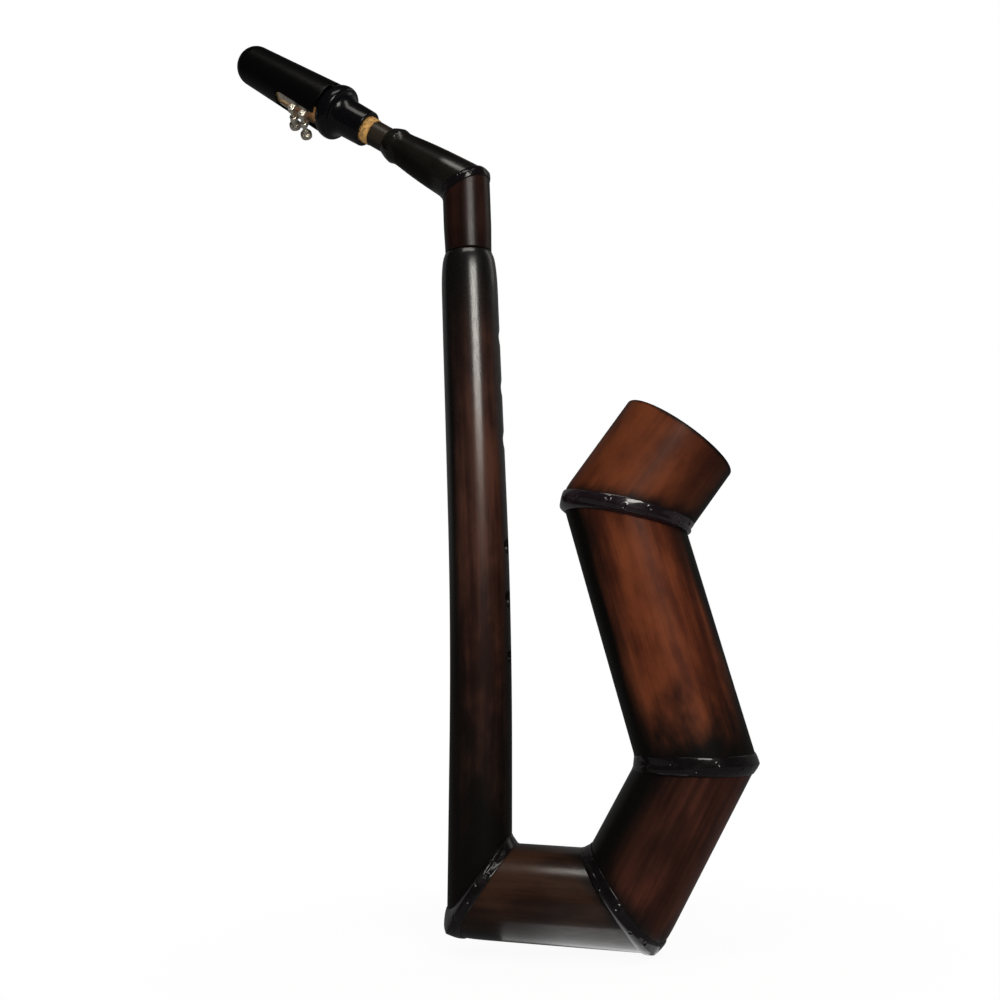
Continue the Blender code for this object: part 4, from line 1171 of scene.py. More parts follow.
# the triple after each seed is the way that tube's painted light falls from; its flanks across that way get painted
# shade
TUBES = (
    Tube("bow_tube", Finish.DARK_BAMBOO, 93.9, 83.2, 27.2, 27.3, 5.0, 0.4, (0.0, -0.95, 0.3),
         {"warm": (0.025, 0.0098, 0.0049), "half_angle": 52.0, "soft": 0.8, "char": (6 * MM, 12 * MM),
          "streaks": 0.4, "satin": 0.26, "sheen": 0.2, "gloss": 0.85, "matt": (-1.0, 0.026),
          "matt_fade": 0.036, "gloss_rough": 0.19}),
    Tube("bell_tube_lower", Finish.DARK_BAMBOO, 30.5, 87.7, 30.7, 29.8, 5.2, 1.9, (0.55, -0.85, 0.1),
         {"warm": (0.040, 0.0100, 0.0047), "half_angle": 50.0, "soft": 0.7, "char": (14 * MM, 7 * MM),
          "sheen": 0.15, "gloss": 0.06}),
    Tube("bell_tube_upper", Finish.BROWN_BAMBOO, -13.7, 145.6, 32.6, 31.9, 5.2, 3.1, (0.02, -1.0, 0.0),
         {"warm": (0.104, 0.0242, 0.0082), "half_angle": 46.0, "soft": 0.45, "char": (55 * MM, 6 * MM),
          "streaks": 0.3, **BROWN}),
    Tube("bell", Finish.BROWN_BAMBOO, 37.3, 56.7, 36.2, 36.2, 5.0, 4.7, (-0.20, -1.0, 0.25),
         {"warm": (0.087, 0.0205, 0.0066), "half_angle": 60.0, "soft": 1.0, "char": (12 * MM, 3 * MM),
          "streaks": 0.18, **BROWN}, lean=9.0),
)
JOINTS = (
    Joint("foot_collar", 3.9, 6.8, 1.6, (62, 87, 103, 116, 130, 160, -40, -75, -110, -145), 0.3, 2.0, 1.5),
    Joint("bow_collar", 4.2, 4.0, 1.2, (29, 49, 67, 91, 112, 141, 165, -30, -60, -95, -130), 1.2, 0.7, 0.6),
    Joint("knee_collar", 5.2, 0.2, 0.8, (40, 66, 85, 108, 132, 155, -25, -55, -90, -125, -155), 2.6, 0.2, 0.1),
    Joint("bell_collar", 4.2, 3.9, 0.8, (45, 72, 86, 107, 137, 157, -20, -50, -85, -115, -145), 4.1, 1.0, 0.3,
          4.5, VIOLET_LACQUER),
)


@dataclass
class BodyAndBell(Assembly):
    """The long tube with its finger holes, the tubes after the foot and the collars between them."""

    body_top: float = 147.5 * MM
    rim_radius: float = 14.6 * MM
    rim_edge: float = 1.2 * MM
    shoulder_radius: float = 17.05 * MM
    shoulder_length: float = 26 * MM
    foot_radius: float = 18.6 * MM
    bore_radius: float = 12.0 * MM
    foot_bore_radius: float = 13.8 * MM
    socket_radius: float = 12.6 * MM
    socket_depth: float = 40 * MM
    socket_chamfer: float = 0.5 * MM
    foot_z: float = -229.2 * MM
    bend_start: float = -15 * MM
    bend_end: float = -150 * MM
    bend_angle: float = 2.4
    plane_turn: float = 12.5
    uneven: float = 0.12 * MM
    dish: float = 1.5 * MM
    drill_depth: float = 12 * MM
    # height and diameter in millimetres, angle from +X towards the front
    holes: tuple[Triple, ...] = ((94.4, 7.4, 0.0), (63.3, 7.4, 0.0), (31.6, 7.8, 0.0), (-32.3, 7.4, 16.5),
                                 (-63.6, 8.8, 16.5), (-97.1, 6.0, 16.5), (79.0, 7.4, 212.0))

    def __post_init__(self) -> None:
        """Lay the tubes end to end from the foot, with a mitre at the start of each."""
        self.shoulder_z = self.body_top - self.shoulder_length
        centre = vec(float(self.centre_x(self.foot_z)), 0.0, self.foot_z)
        arriving, radius = along(180.0 + self.bend_angle), self.foot_radius
        ways = [along(tube.angle, self.plane_turn, tube.lean) for tube in TUBES]
        self.mitres = []
        for tube, joint, way in zip(TUBES, JOINTS, ways):
            self.mitres.append(Mitre(centre, arriving, way, radius, tube.first * MM, joint.half_width * MM,
                                     joint.trim * MM, joint.swing, joint.soft * MM))
            centre, arriving, radius = centre + way * tube.length * MM, way, tube.last * MM
        self.foot = self.mitres[0]
        self.stems = [Stem(way, tube.length * MM, tube.first * MM, tube.last * MM, tube.wall * MM, starts, ends,
                           tube.seed)
                      for tube, way, starts, ends in zip(TUBES, ways, self.mitres, [*self.mitres[1:], None])]

    def centre_x(self, z: float | Array) -> Array:
        """Sideways place of the body's axis: 0, then -slope d^2 / 2 bend, then straight again."""
        slope, bend = math.tan(math.radians(self.bend_angle)), self.bend_start - self.bend_end
        depth = np.maximum(self.bend_start - z, 0.0)
        return np.where(depth <= bend, -slope * depth**2 / (2.0 * bend), -slope * (depth - bend / 2.0))

    def bent(self, places: Array, sign: float = 1.0) -> Array:
        """Places of the straight tube moved onto the bent one, or back with the sign -1."""
        return places + sign * self.centre_x(places[..., 2])[..., None] * vec(1.0, 0.0, 0.0)

    def taper(self, z: float | Array) -> float | Array:
        """The body's radius below its shoulder."""
        share = (self.shoulder_z - z) / (self.shoulder_z - self.foot_z)
        return blend(self.shoulder_radius, self.foot_radius, share)

    def build(self) -> None:
        """All pieces of the body."""
        self.build_body()
        for tube, stem in zip(TUBES, self.stems):
            self.build_tube(tube, stem)
        lacquers = {lacquer: lacquer.material() for lacquer in (BLACK_LACQUER, VIOLET_LACQUER)}
        for joint, mitre in zip(JOINTS, self.mitres):
            collar = Collar(mitre, joint.pegs, joint.seed, swell=joint.swell * MM, spread=joint.spread)
            self.dress(collar.build(joint.node + "_lacquer"), lacquers[joint.lacquer], Finish.COLLAR, "body",
                       joint.node, 60.0)

    def build_tube(self, tube: Tube, stem: Stem) -> None:
        """Build one tube and give it its bamboo.

        Args:
            tube: its sizes and look.
            stem: its shape.
        """
        pose = stem.pose
        # the direction of the painted light, turned into the tube's own frame; it picks the warm lit flank and the
        # painted shade across it
        painted_light_way = (float(pose.across @ tube.painted_light_way), float(pose.beside @ tube.painted_light_way), 0.0)
        cuts = tuple(tuple(pose.local(pose.origin + (mitre.plane if mitre else stem.way)).tolist())
                     for mitre in (stem.starts, stem.ends))
        finish = Bamboo(tube.node + "_bamboo", painted_light_way=painted_light_way, radius=stem.first, ends=(0.0, stem.length),
                        cuts=cuts, **tube.look)
        self.dress(stem.build(tube.node + "_skin"), finish.material(), tube.slot, "body", tube.node, 50.0)

    def build_body(self) -> None:
        """The long tube: turned, bent, cut to the foot's plane and drilled."""
        turn, edge, top = turns(), self.rim_edge, self.body_top
        line = arc((self.rim_radius - edge, top - edge), (edge, edge), 90.0, 30.0, 4)
        line += arc((self.rim_radius, self.shoulder_z),
                    (self.shoulder_radius - self.rim_radius, self.shoulder_length - 2 * MM), 72.0, 0.0, 14)
        rows = [ring(radius, turn, z) for radius, z in line]
        outer_end, inner_end = (self.foot.meet(lambda z: self.bent(ring(radius, turn, z)), self.foot_z, UP, 1.0)
                                for radius in (self.foot_radius, self.foot_bore_radius))
        for share in smooth_rows(110)[1:]:
            z = blend(self.shoulder_z, outer_end, share)
            uneven = self.uneven * smoothstep(0.0, 0.1, share) * ripple(turn, z, 2.2)
            rows.append(ring(self.taper(z) + uneven, turn, z))
        socket_z, chamfer = top - self.socket_depth, self.socket_chamfer
        rows += [ring(blend(self.bore_radius, self.foot_bore_radius, share), turn, blend(socket_z, inner_end, share))
                 for share in np.linspace(1.0, 0.0, 30)]
        rows += [ring(radius, turn, z) for radius, z in (
            (self.socket_radius, socket_z), (self.socket_radius, top - chamfer), (self.socket_radius + chamfer, top))]
        local = np.array(rows)
        body = loft("body_tube_skin", self.foot.filed(self.bent(local), TUBE_CORNER), local, closed=True)
        for number, hole in enumerate(self.holes):
            subtract(body, self.drill(f"drill_{number}", *hole))
        set_grain(body, lambda places: self.bent(places, -1.0))
        # painted light from the front and a little to the right makes the warm flank; the sides across it are painted
        # shade
        finish = Bamboo("body_bamboo", (0.046, 0.0155, 0.0092), painted_light_way=(0.14, -1.0, 0.0), half_angle=39.0, soft=0.6,
                        radius=self.shoulder_radius, ends=(self.foot_z, top), char=(0.20, 0.09),
                        satin=0.36, sheen=0.10, gloss=1.0, gloss_rough=0.22, matt=(-1.0, -0.12),
                        matt_fade=0.16, relief=0.14 * MM)
        self.dress(body, finish.material(), Finish.DARK_BAMBOO, "body", "body_tube", 38.0)

    def drill(self, name: str, height: float, diameter: float, angle: float) -> bpy.types.Object:
        """A drill whose shank flares out into the dish with a round lip.

        Args:
            name: of the tool.
            height: of the hole, in millimetres.
            diameter: in millimetres.
            angle: from +X towards the front, in degrees.

        Returns:
            The tool, standing on the body's surface.
        """
        z, radius = height * MM, diameter * MM / 2.0
        surface = self.taper(z)
        tip, floor, head = surface - self.drill_depth, surface - self.dish, surface + self.dish
        profile = [(POLE, tip), (radius, tip), (radius, floor - 0.6 * MM), (radius + 0.35 * MM, floor),
                   (radius + self.dish, surface - 0.05 * MM), (radius + 1.9 * self.dish, head), (POLE, head)]
        turn = math.radians(angle)
        pose = Pose(vec(float(self.centre_x(z)), 0.0, z), vec(math.cos(turn), -math.sin(turn), 0.0), vec(*UP))
        return revolve(name, profile, pose, 64)


@dataclass
class Neck(Assembly):
    """The swivelling neck: tenon with its cork, elbow, node, pipe and the mouthpiece's cork."""

    turn: float = 18.0
    body_top: float = 147.5 * MM
    tenon_length: float = 37 * MM
    tenon_radius: float = 10.6 * MM
    tenon_chamfer: float = 0.5 * MM
    tenon_cork_wall: float = 1.4 * MM
    tenon_cork_length: float = 27 * MM
    tenon_cork_inset: float = 4 * MM
    seat_radius: float = 14.1 * MM
    seat_edge: float = 0.8 * MM
    seat_length: float = 18 * MM
    lower_radius: float = 14.5 * MM
    bore_radius: float = 7.6 * MM
    elbow_z: float = 191.0 * MM
    rise: float = 35.6
    upper_radius: float = 14.0 * MM
    node_place: float = 54.5 * MM
    node_radius: float = 11.2 * MM
    node_pit: float = 0.09 * MM
    node_spread: float = 1.6 * MM
    waist_radius: float = 10.6 * MM
    upper_length: float = 61.5 * MM
    end_radius: float = 9.3 * MM
    uneven: float = 0.1 * MM
    pipe_radius: float = 8.1 * MM
    pipe_edge: float = 0.5 * MM
    socket_depth: float = 22 * MM
    shoulder: float = 73.4 * MM
    pipe_tenon_radius: float = 6.9 * MM
    pipe_bore_radius: float = 5.2 * MM
    pipe_length: float = 104 * MM
    cork_radius: float = 8.5 * MM
    cork_length: float = 29.5 * MM
    cork_edge: float = 0.7 * MM

    def __post_init__(self) -> None:
        """Place the elbow and the slanting tube's frame."""
        turn, level = math.radians(self.turn), math.radians(self.rise)
        self.way = vec(-math.cos(turn), math.sin(turn), 0.0) * math.cos(level) + vec(*UP) * math.sin(level)
        self.elbow_centre = vec(0.0, 0.0, self.elbow_z)
        self.elbow = Mitre(self.elbow_centre, vec(*UP), self.way, self.lower_radius, self.upper_radius,
                           3.0 * MM, 1.9 * MM)
        self.pose = Pose(self.elbow_centre, self.way)

    def build(self) -> None:
        """All pieces of the neck."""
        self.build_lower()
        self.build_upper()
        self.build_pipe()
        collar = Collar(self.elbow, (60, 85, 110, 140, -45, -80, -115, -150), 5.3, height=0.7 * MM,
                        swell=0.2 * MM, peg_radius=0.9 * MM, peg_depth=0.35 * MM, peg_rim=0.2 * MM)
        self.dress(collar.build("neck_elbow_lacquer"), Lacquer("elbow_black", rough=0.2, gloss=0.5).material(),
                   Finish.COLLAR, "neck", "neck_elbow_collar", 60.0)
        cork = Cork("cork_tan").material()
        inner, top = self.tenon_radius + FIT, self.body_top - self.tenon_cork_inset
        low, high = self.shoulder + FIT, self.shoulder + FIT + self.cork_length
        for node, body, radii, ends, pose in (
            ("neck_tenon_cork", "tenon_cork", (inner, inner + self.tenon_cork_wall),
             (top - self.tenon_cork_length, top), Pose(vec(0.0, 0.0, 0.0), vec(*UP))),
            ("mouthpiece_cork", "pipe_cork", (self.pipe_tenon_radius + FIT, self.cork_radius), (low, high), self.pose),
        ):
            self.dress(self.sleeve(node + "_sleeve", radii, ends, pose), cork, Finish.CORK, body, node)

    def sleeve(self, name: str, radii: Pair, ends: Pair, pose: Pose) -> bpy.types.Object:
        """A cork sleeve with rounded ends.

        Args:
            name: the piece's name.
            radii: inside and outside.
            ends: places of its ends.
            pose: where it stands.

        Returns:
            The object.
        """
        (inner, outer), (low, high), edge = radii, ends, self.cork_edge
        line = [(inner, low)] + arc((outer - edge, low + edge), (edge, edge), -90.0, 0.0, 5)
        line += [(outer, blend(low, high, share)) for share in (0.25, 0.5, 0.75)]
        line += arc((outer - edge, high - edge), (edge, edge), 0.0, 90.0, 5) + [(inner, high)]
        return revolve(name, line, pose, closed=True,
                       uneven=lambda turn, place: 0.05 * MM * ripple(turn * 2.0, place * 9.0, 0.7))

    def build_lower(self) -> None:
        """The upright tube with its rounded seat, and below it the tenon."""
        turn, edge, chamfer = turns(), self.seat_edge, self.tenon_chamfer
        seat, end = self.body_top + FIT, self.body_top - self.tenon_length
        line = [(self.bore_radius, end), (self.tenon_radius - chamfer, end), (self.tenon_radius, end + chamfer),
                (self.tenon_radius, seat - 0.1 * MM), (self.tenon_radius + 0.1 * MM, seat)]
        line += arc((self.seat_radius - edge, seat + edge), (edge, edge), -90.0, 0.0, 6)
        rows = [ring(radius, turn, z) for radius, z in line]
        top, inner_top = (self.elbow.meet(lambda z: ring(radius, turn, z), self.elbow_z, UP, 1.0)
                          for radius in (self.lower_radius, self.bore_radius))
        for share in smooth_rows(40)[1:]:
            z = blend(seat + edge, top, share)
            radius = blend(self.seat_radius, self.lower_radius, smoothstep(seat, seat + self.seat_length, z))
            rows.append(ring(radius + self.uneven * share * ripple(turn, z, 6.1), turn, z))
        rows += [ring(self.bore_radius, turn, blend(end, inner_top, share))
                 for share in np.linspace(1.0, 0.0, 12)[:-1]]
        local = np.array(rows)
        made = loft("neck_lower_skin", self.elbow.filed(local, TUBE_CORNER), local, closed=True)
        # painted light from the front makes the warm flank; the sides across it are painted shade
        finish = Bamboo("neck_lower_bamboo", (0.0155, 0.0049, 0.0031), painted_light_way=(0.0, -1.0, 0.0), half_angle=60.0,
                        soft=0.7, radius=self.lower_radius, satin=0.32, sheen=0.08, gloss_rough=0.28)
        self.dress(made, finish.material(), Finish.DARK_BAMBOO, "neck", "neck_lower_tube")

    def upper_profile(self, waist: float) -> list[Pair]:
        """Outside of the slanting tube: it narrows to the waist, swells at the node and ends in a lip.

        Args:
            waist: place of the waist.

        Returns:
            Points (radius, place).
        """
        node, end = self.node_place, self.upper_length
        return smooth_line([
            (self.upper_radius, 0.0),
            (blend(self.waist_radius, self.upper_radius, 0.72), waist * 0.42),
            (blend(self.waist_radius, self.upper_radius, 0.40), waist * 0.73),
            (self.waist_radius, waist),
            (self.waist_radius + 0.1 * MM, waist + 3.2 * MM),
            (self.node_radius - 0.1 * MM, node - 1.0 * MM),
            (self.node_radius, node),
            (self.node_radius - 0.25 * MM, node + 1.2 * MM),
            (blend(self.end_radius, self.node_radius, 0.50), node + 3.6 * MM),
            (self.end_radius, end - 1.0 * MM),
            (self.end_radius - 0.7 * MM, end),
        ], 9)

    def build_upper(self) -> None:
        """The slanting tube that narrows to a pitted node."""
        turn, waist = turns(), self.node_place - 6 * MM

        def start(radius: float) -> Array:
            """Places at which the tube of this radius leaves the elbow's plane."""
            return self.elbow.meet(lambda z: self.pose.world(ring(radius, turn, z)), 0.0, self.way, -1.0)

        rows = []
        for radius, place in self.upper_profile(waist):
            z = max(place, 0.0) + start(radius) * max(0.0, 1.0 - place / waist)
            near_node = math.exp(-((place - self.node_place) / self.node_spread) ** 2)
            pits = self.node_pit * near_node * np.sin(turn * 23.0 + 1.0)
            uneven = self.uneven * ripple(turn, z, 7.7) * min(1.0, place / (10 * MM))
            rows.append(ring(radius + uneven + pits, turn, z))
        mouth, socket = self.pipe_radius + FIT, self.upper_length - self.socket_depth
        rows += [ring(radius, turn, place) for radius, place in (
            (mouth, self.upper_length), (mouth, socket), (self.bore_radius, socket),
            (self.bore_radius, start(self.bore_radius)))]
        local = np.array(rows)
        made = loft("neck_upper_skin", self.elbow.filed(self.pose.world(local), TUBE_CORNER), local, closed=True)
        # the warm flank lies where its painted light falls, and the flanks across it are painted shade
        finish = Bamboo("neck_upper_bamboo", (0.0075, 0.0066, 0.0050), painted_light_way=(1.0, 0.4, 0.0),
                        radius=self.upper_radius, soft=0.8, sheen=0.08, gloss=0.8,
                        matt=(0.020, 0.047), matt_fade=0.008, streaks=0.3)
        self.dress(made, finish.material(), Finish.DARK_BAMBOO, "neck", "neck_upper_tube")

    def build_pipe(self) -> None:
        """The pipe out of the node: a stout part up to its shoulder and a thinner one under the cork."""
        edge, start = self.pipe_edge, self.upper_length - self.socket_depth + FIT
        line = [(self.pipe_bore_radius, start), (self.pipe_radius, start), (self.pipe_radius, self.shoulder - edge),
                (self.pipe_radius - edge, self.shoulder), (self.pipe_tenon_radius, self.shoulder),
                (self.pipe_tenon_radius, self.pipe_length - edge),
                (self.pipe_tenon_radius - edge, self.pipe_length), (self.pipe_bore_radius, self.pipe_length)]
        # painted light from the default +X way makes the warm flank; the flanks across it are painted shade
        finish = Bamboo("neck_pipe_bamboo", (0.018, 0.0125, 0.0080), half_angle=60.0,
                        radius=self.pipe_radius, satin=0.34, sheen=0.2, gloss=0.1)
        self.dress(revolve("neck_pipe_skin", line, self.pose, closed=True), finish.material(),
                   Finish.DARK_BAMBOO, "neck", "neck_pipe")


@dataclass
class MouthpieceGroup(Assembly):
    """The mouthpiece, and on it the reed, the ligature with its screws, and the cap."""

    neck: Neck
    turn: float = 27.0
    place: float = 79.0 * MM
    length: float = 90.0 * MM
    radius: float = 12.5 * MM
    bore_depth: float = 31 * MM
    bore_chamfer: float = 0.8 * MM
    chamber_radius: float = 7.4 * MM
    shank_radius: float = 11.4 * MM
    shank_edge: float = 1.1 * MM
    shank_length: float = 14.0 * MM
    crest_place: float = 26.5 * MM
    crest_radius: float = 17.7 * MM
    crest_round: float = 1.6 * MM
    front_place: float = 32.4 * MM
    table: float = 9.2 * MM
    facing_start: float = 67 * MM
    facing_opening: float = 1.7 * MM
    beak_start: float = 49 * MM
    beak_tip: float = 1.6 * MM
    beak_half_width: float = 8.9 * MM
    window_start: float = 56 * MM
    bound_power: float = 22.0
    reed_radius: float = 12.8 * MM
    reed_half_width: float = 7.4 * MM
    reed_heel: float = 33.4 * MM
    reed_vamp: float = 57 * MM
    reed_step: float = 3.4 * MM
    reed_heart: float = 0.5 * MM
    reed_tip: float = 0.35 * MM
    band_start: float = 37.0 * MM
    band_length: float = 26.5 * MM
    band_wall: float = 0.55 * MM
    band_half_opening: float = 2.3 * MM
    # name, place along the mouthpiece and how far the screw stands out
    screws: tuple[tuple[str, float, float], ...] = (("rear", 39.6 * MM, 3.0 * MM), ("front", 48.5 * MM, 0.0))
    screw_depth: float = 17.6 * MM
    screw_radius: float = 1.25 * MM
    screw_past: float = 0.6 * MM
    thread_depth: float = 0.12 * MM
    barrel_radius: float = 2.4 * MM
    barrel_length: float = 3.6 * MM
    barrel_edge: float = 0.45 * MM
    barrel_foot: float = 1.7 * MM
    stem_radius: float = 1.9 * MM
    stem_length: float = 2.3 * MM
    knob_radius: float = 3.7 * MM
    knob_length: float = 3.6 * MM
    knob_edge: float = 0.8 * MM
    knurl_depth: float = 0.3 * MM
    cap_open: float = 16.2 * MM
    cap_end: float = 13.1 * MM
    cap_dome: float = 12 * MM
    cap_place: float = 107.8 * MM
    cap_wall: float = 0.8 * MM
    cap_edge: float = 0.35 * MM
    slot_half_width: float = 7.0 * MM
    slot_end: float = 65.5 * MM
    slot_corner: float = 4 * MM

    def __post_init__(self) -> None:
        """Stand it on the neck's cork, +X away from the reed, turned by its own angle."""
        neck_turn, level, turn = (math.radians(angle) for angle in (self.neck.turn, self.neck.rise, self.turn))
        flat = vec(math.cos(neck_turn), -math.sin(neck_turn), 0.0)
        upper = flat * math.sin(level) + vec(0.0, 0.0, math.cos(level))
        beside = np.cross(self.neck.way, upper)
        self.pose = Pose(self.neck.elbow_centre + self.neck.way * self.place, self.neck.way,
                         upper * math.cos(turn) + beside * math.sin(turn))

    def build(self) -> None:
        """All pieces on the cork."""
        self.build_mouthpiece()
        self.build_reed()
        self.build_ligature()
        self.build_cap()

    def table_level(self, place: float) -> float:
        """-table, lifted by opening t^1.6 over the facing."""
        share = np.clip((place - self.facing_start) / (self.length - self.facing_start), 0.0, 1.0)
        return -self.table + self.facing_opening * float(share) ** 1.6

    def outer_profile(self) -> list[Pair]:
        """The turned outside: shank, hollow, crest, front shoulder, and straight on to the tip.

        Returns:
            Points (radius, place).
        """
        crest, neck_radius, edge, bead = (self.crest_radius, self.shank_radius + 0.4 * MM, self.shank_edge,
                                          self.crest_round)
        line = arc((self.shank_radius - edge, edge), (edge, edge), -90.0, 0.0, 6)
        line += [(self.shank_radius + 0.2 * MM, 7 * MM), (neck_radius, self.shank_length)]
        line += arc((crest - 1.5 * MM, self.shank_length), (neck_radius - crest + 1.5 * MM, 8 * MM),
                    0.0, 90.0, 10)[1:]
        line += arc((crest - bead, self.crest_place - bead), (bead, 2.9 * MM), -80.0, 0.0, 6)[1:]
        line += arc((self.radius, self.crest_place - bead),
                    (crest - self.radius, self.front_place - self.crest_place + bead), 0.0, 90.0, 14)[1:]
        places = [*np.linspace(self.front_place + 0.05 * MM, self.beak_start, 9),
                  *np.linspace(self.beak_start, self.length, 60)[1:]]
        return line + [(self.radius, place) for place in places]

    def build_mouthpiece(self) -> None:
        """Bore, outside, and from the table on sections that are cut by table, beak and side planes."""
        turn, bore = turns(192), self.neck.cork_radius + FIT
        rows = [ring(radius, turn, place) for radius, place in (
            (self.chamber_radius, self.window_start), (self.chamber_radius, self.bore_depth),
            (bore, self.bore_depth), (bore, self.bore_chamfer), (bore + 0.6 * MM, 0.0))]
        tip_top = self.table_level(self.length) + self.beak_tip
        for radius, place in self.outer_profile():
            low = self.table_level(place) if place > self.front_place else -radius
            share = (place - self.beak_start) / (self.length - self.beak_start)
            high = radius if share <= 0.0 else min(radius, blend(self.radius, tip_top, share))
            half = radius if share <= 0.0 else blend(self.radius, self.beak_half_width, share)
            rows.append(self.cut_section(turn, place, radius, low, high, half))
        rows.append(rows[-1] * vec(1.0, 0.96, 1.0) + vec(0.0, 0.0, 0.15 * MM))
        local = np.array(rows)
        self.dress(loft("mouthpiece_body", self.pose.world(local), local), HardRubber("rubber_black").material(),
                   Finish.RUBBER, "mouthpiece", "mouthpiece", 30.0)

    def cut_section(self, turn: Array, place: float, radius: float, low: float, high: float,
                    half: float) -> Array:
        """A circle cut by planes, in polar form about (low + high) / 2.

        The reach is the soft least of the distances to the bounds, (sum of distance^-p)^(-1/p).

        Args:
            turn: angles.
            place: along the mouthpiece.
            radius: of the circle.
            low: level of the table's plane.
            high: level of the beak's plane.
            half: half the width between the side planes.

        Returns:
            One row of points.
        """
        cosine, sine = np.cos(turn), np.sin(turn)
        middle = 0.5 * (low + high)
        reach = -middle * cosine + np.sqrt(np.maximum(radius**2 - (middle * sine) ** 2, 1e-12))
        if high - low < 2.0 * radius - 1e-6:
            bounds = (reach, (high - middle) / np.maximum(cosine, 1e-4),
                      (middle - low) / np.maximum(-cosine, 1e-4), half / np.maximum(np.abs(sine), 1e-4))
            reach = sum(bound**-self.bound_power for bound in bounds) ** (-1.0 / self.bound_power)
        return np.stack([middle + reach * cosine, reach * sine, np.full(turn.shape, place)], axis=-1)

    def build_reed(self) -> None:
        """Flat on the table, bark side round, scraped to a thin tip with round corners.

        A section's point at angle a lies at y = w c|c|^(k - 1) with c = cos a, and between the flat
        and the top by a like power of the sine.
        """
        end, flat, turn = self.length - FIT, -self.table - FIT, turns(96)
        wide = np.sign(np.cos(turn)) * np.abs(np.cos(turn)) ** 0.22
        thick = np.sign(np.sin(turn)) * np.abs(np.sin(turn)) ** 0.30
        place = blend(self.reed_heel, end, smooth_rows(90))[:, None]
        near_tip = np.clip((place - (end - 4 * MM)) / (4 * MM), 0.0, 1.0)
        y = self.reed_half_width * (1.0 - 0.16 * near_tip**3) * wide
        bark = np.sqrt(self.reed_radius**2 - y**2) - self.table - FIT
        share = np.clip((place - self.reed_vamp) / (end - self.reed_vamp), 0.0, 1.0)
        vamp = (blend(self.reed_step, self.reed_tip, share**0.62)
                + self.reed_heart * (1.0 - (y / self.reed_half_width) ** 2) * (1 - share))
        top = np.where(place > self.reed_vamp, np.minimum(bark, vamp), bark)
        local = np.stack([flat - top * (0.5 + 0.5 * thick), y, place + 0.0 * y], axis=-1)
        finish = Cane("reed_cane_finish", self.reed_vamp)
        self.dress(loft("reed_cane", self.pose.world(local), local), finish.material(), Finish.CANE,
                   "reed", "reed", 45.0)

    def build_ligature(self) -> None:
        """The open band with its rolled rims, the barrels and the two screws."""
        nickel = Nickel("nickel_plate").material()
        inner = self.reed_radius + FIT
        outer = inner + self.band_wall
        open_end = math.pi - self.band_half_opening / outer
        radius, place = self.band_section(inner, outer)
        local = ring(radius, np.linspace(-open_end, open_end, 181)[:, None], place)
        self.dress(loft("ligature_band_nickel", self.pose.world(local), local), nickel, Finish.NICKEL,
                   "ligature", "ligature_band", 50.0)
        for name, along_it, out in self.screws:
            for side, sign in (("near", -1.0), ("far", 1.0)):
                self.build_barrel(f"ligature_barrel_{name}_{side}", sign, along_it, outer + FIT, nickel)
            self.build_screw(name, along_it, out, nickel)

    def band_section(self, inner: float, outer: float) -> tuple[Array, Array]:
        """Closed section of the band: a flat strip with two rolled rims and two shallow ribs.

        Args:
            inner: radius inside.
            outer: radius outside.

        Returns:
            Its radii and its places.
        """
        low, high = self.band_start, self.band_start + self.band_length
        place = np.linspace(low, high, 120)
        raised = sum(height * np.exp(-((place - blend(low, high, centre)) / spread) ** 2)
                     for centre, height, spread in ((0.3, 0.28 * MM, 0.9 * MM), (0.7, 0.28 * MM, 0.9 * MM),
                                                    (0.0, 0.18 * MM, 0.8 * MM), (1.0, 0.18 * MM, 0.8 * MM)))
        outside = outer - 0.1 * MM + raised * 0.6
        return np.append(outside, np.full(place.shape, inner)), np.append(place, place[::-1])

    def screw_pose(self, place: float) -> Pose:
        """Frame of a screw: +Z towards the far side, +X away from the mouthpiece."""
        origin = self.pose.world(vec(-self.screw_depth, 0.0, place))
        return Pose(origin, self.pose.beside, -self.pose.across)

    def build_barrel(self, name: str, sign: float, place: float, seat: float,
                     finish: bpy.types.Material) -> None:
        """A bored barrel with beaded ends, on a foot that widens down to the band.

        A point at angle a lies at the barrel's radius, but the sector that faces the band is
        stretched down to the seat: its reach is height / cos a, within the foot's half width.

        Args:
            name: the node that it stands for.
            sign: -1 on the near side of the band's opening and 1 on the far side.
            place: along the mouthpiece.
            seat: radius of the band that it stands on.
            finish: its material.
        """
        turn, edge, length, bore = turns(96), self.barrel_edge, self.barrel_length, self.screw_radius + FIT
        height = self.screw_depth - seat
        down, side = -np.cos(turn), np.abs(np.sin(turn))
        foot = np.where(down > 0.05, np.minimum(height / np.maximum(down, 0.05), 1.35 * height), 0.0)
        foot = np.minimum(foot, np.where(side > 1e-3, self.barrel_foot / np.maximum(side, 1e-3), 1.0))
        line = smooth_line([(self.barrel_radius - edge, 0.0), (self.barrel_radius, edge),
                            (self.barrel_radius - 0.25 * MM, 0.5 * length), (self.barrel_radius, length - edge),
                            (self.barrel_radius - edge, length)], 5)
        rows = []
        for radius, along_it in [(bore, 0.0), *line, (bore, length)]:
            reach = np.maximum(radius, foot - (self.barrel_radius - radius)) if radius > bore else radius
            rows.append(ring(reach, turn, sign * (self.band_half_opening + along_it)))
        local = np.array(rows)
        self.dress(loft(name + "_nickel", self.screw_pose(place).world(local), local, closed=True), finish,
                   Finish.NICKEL, "ligature", name)

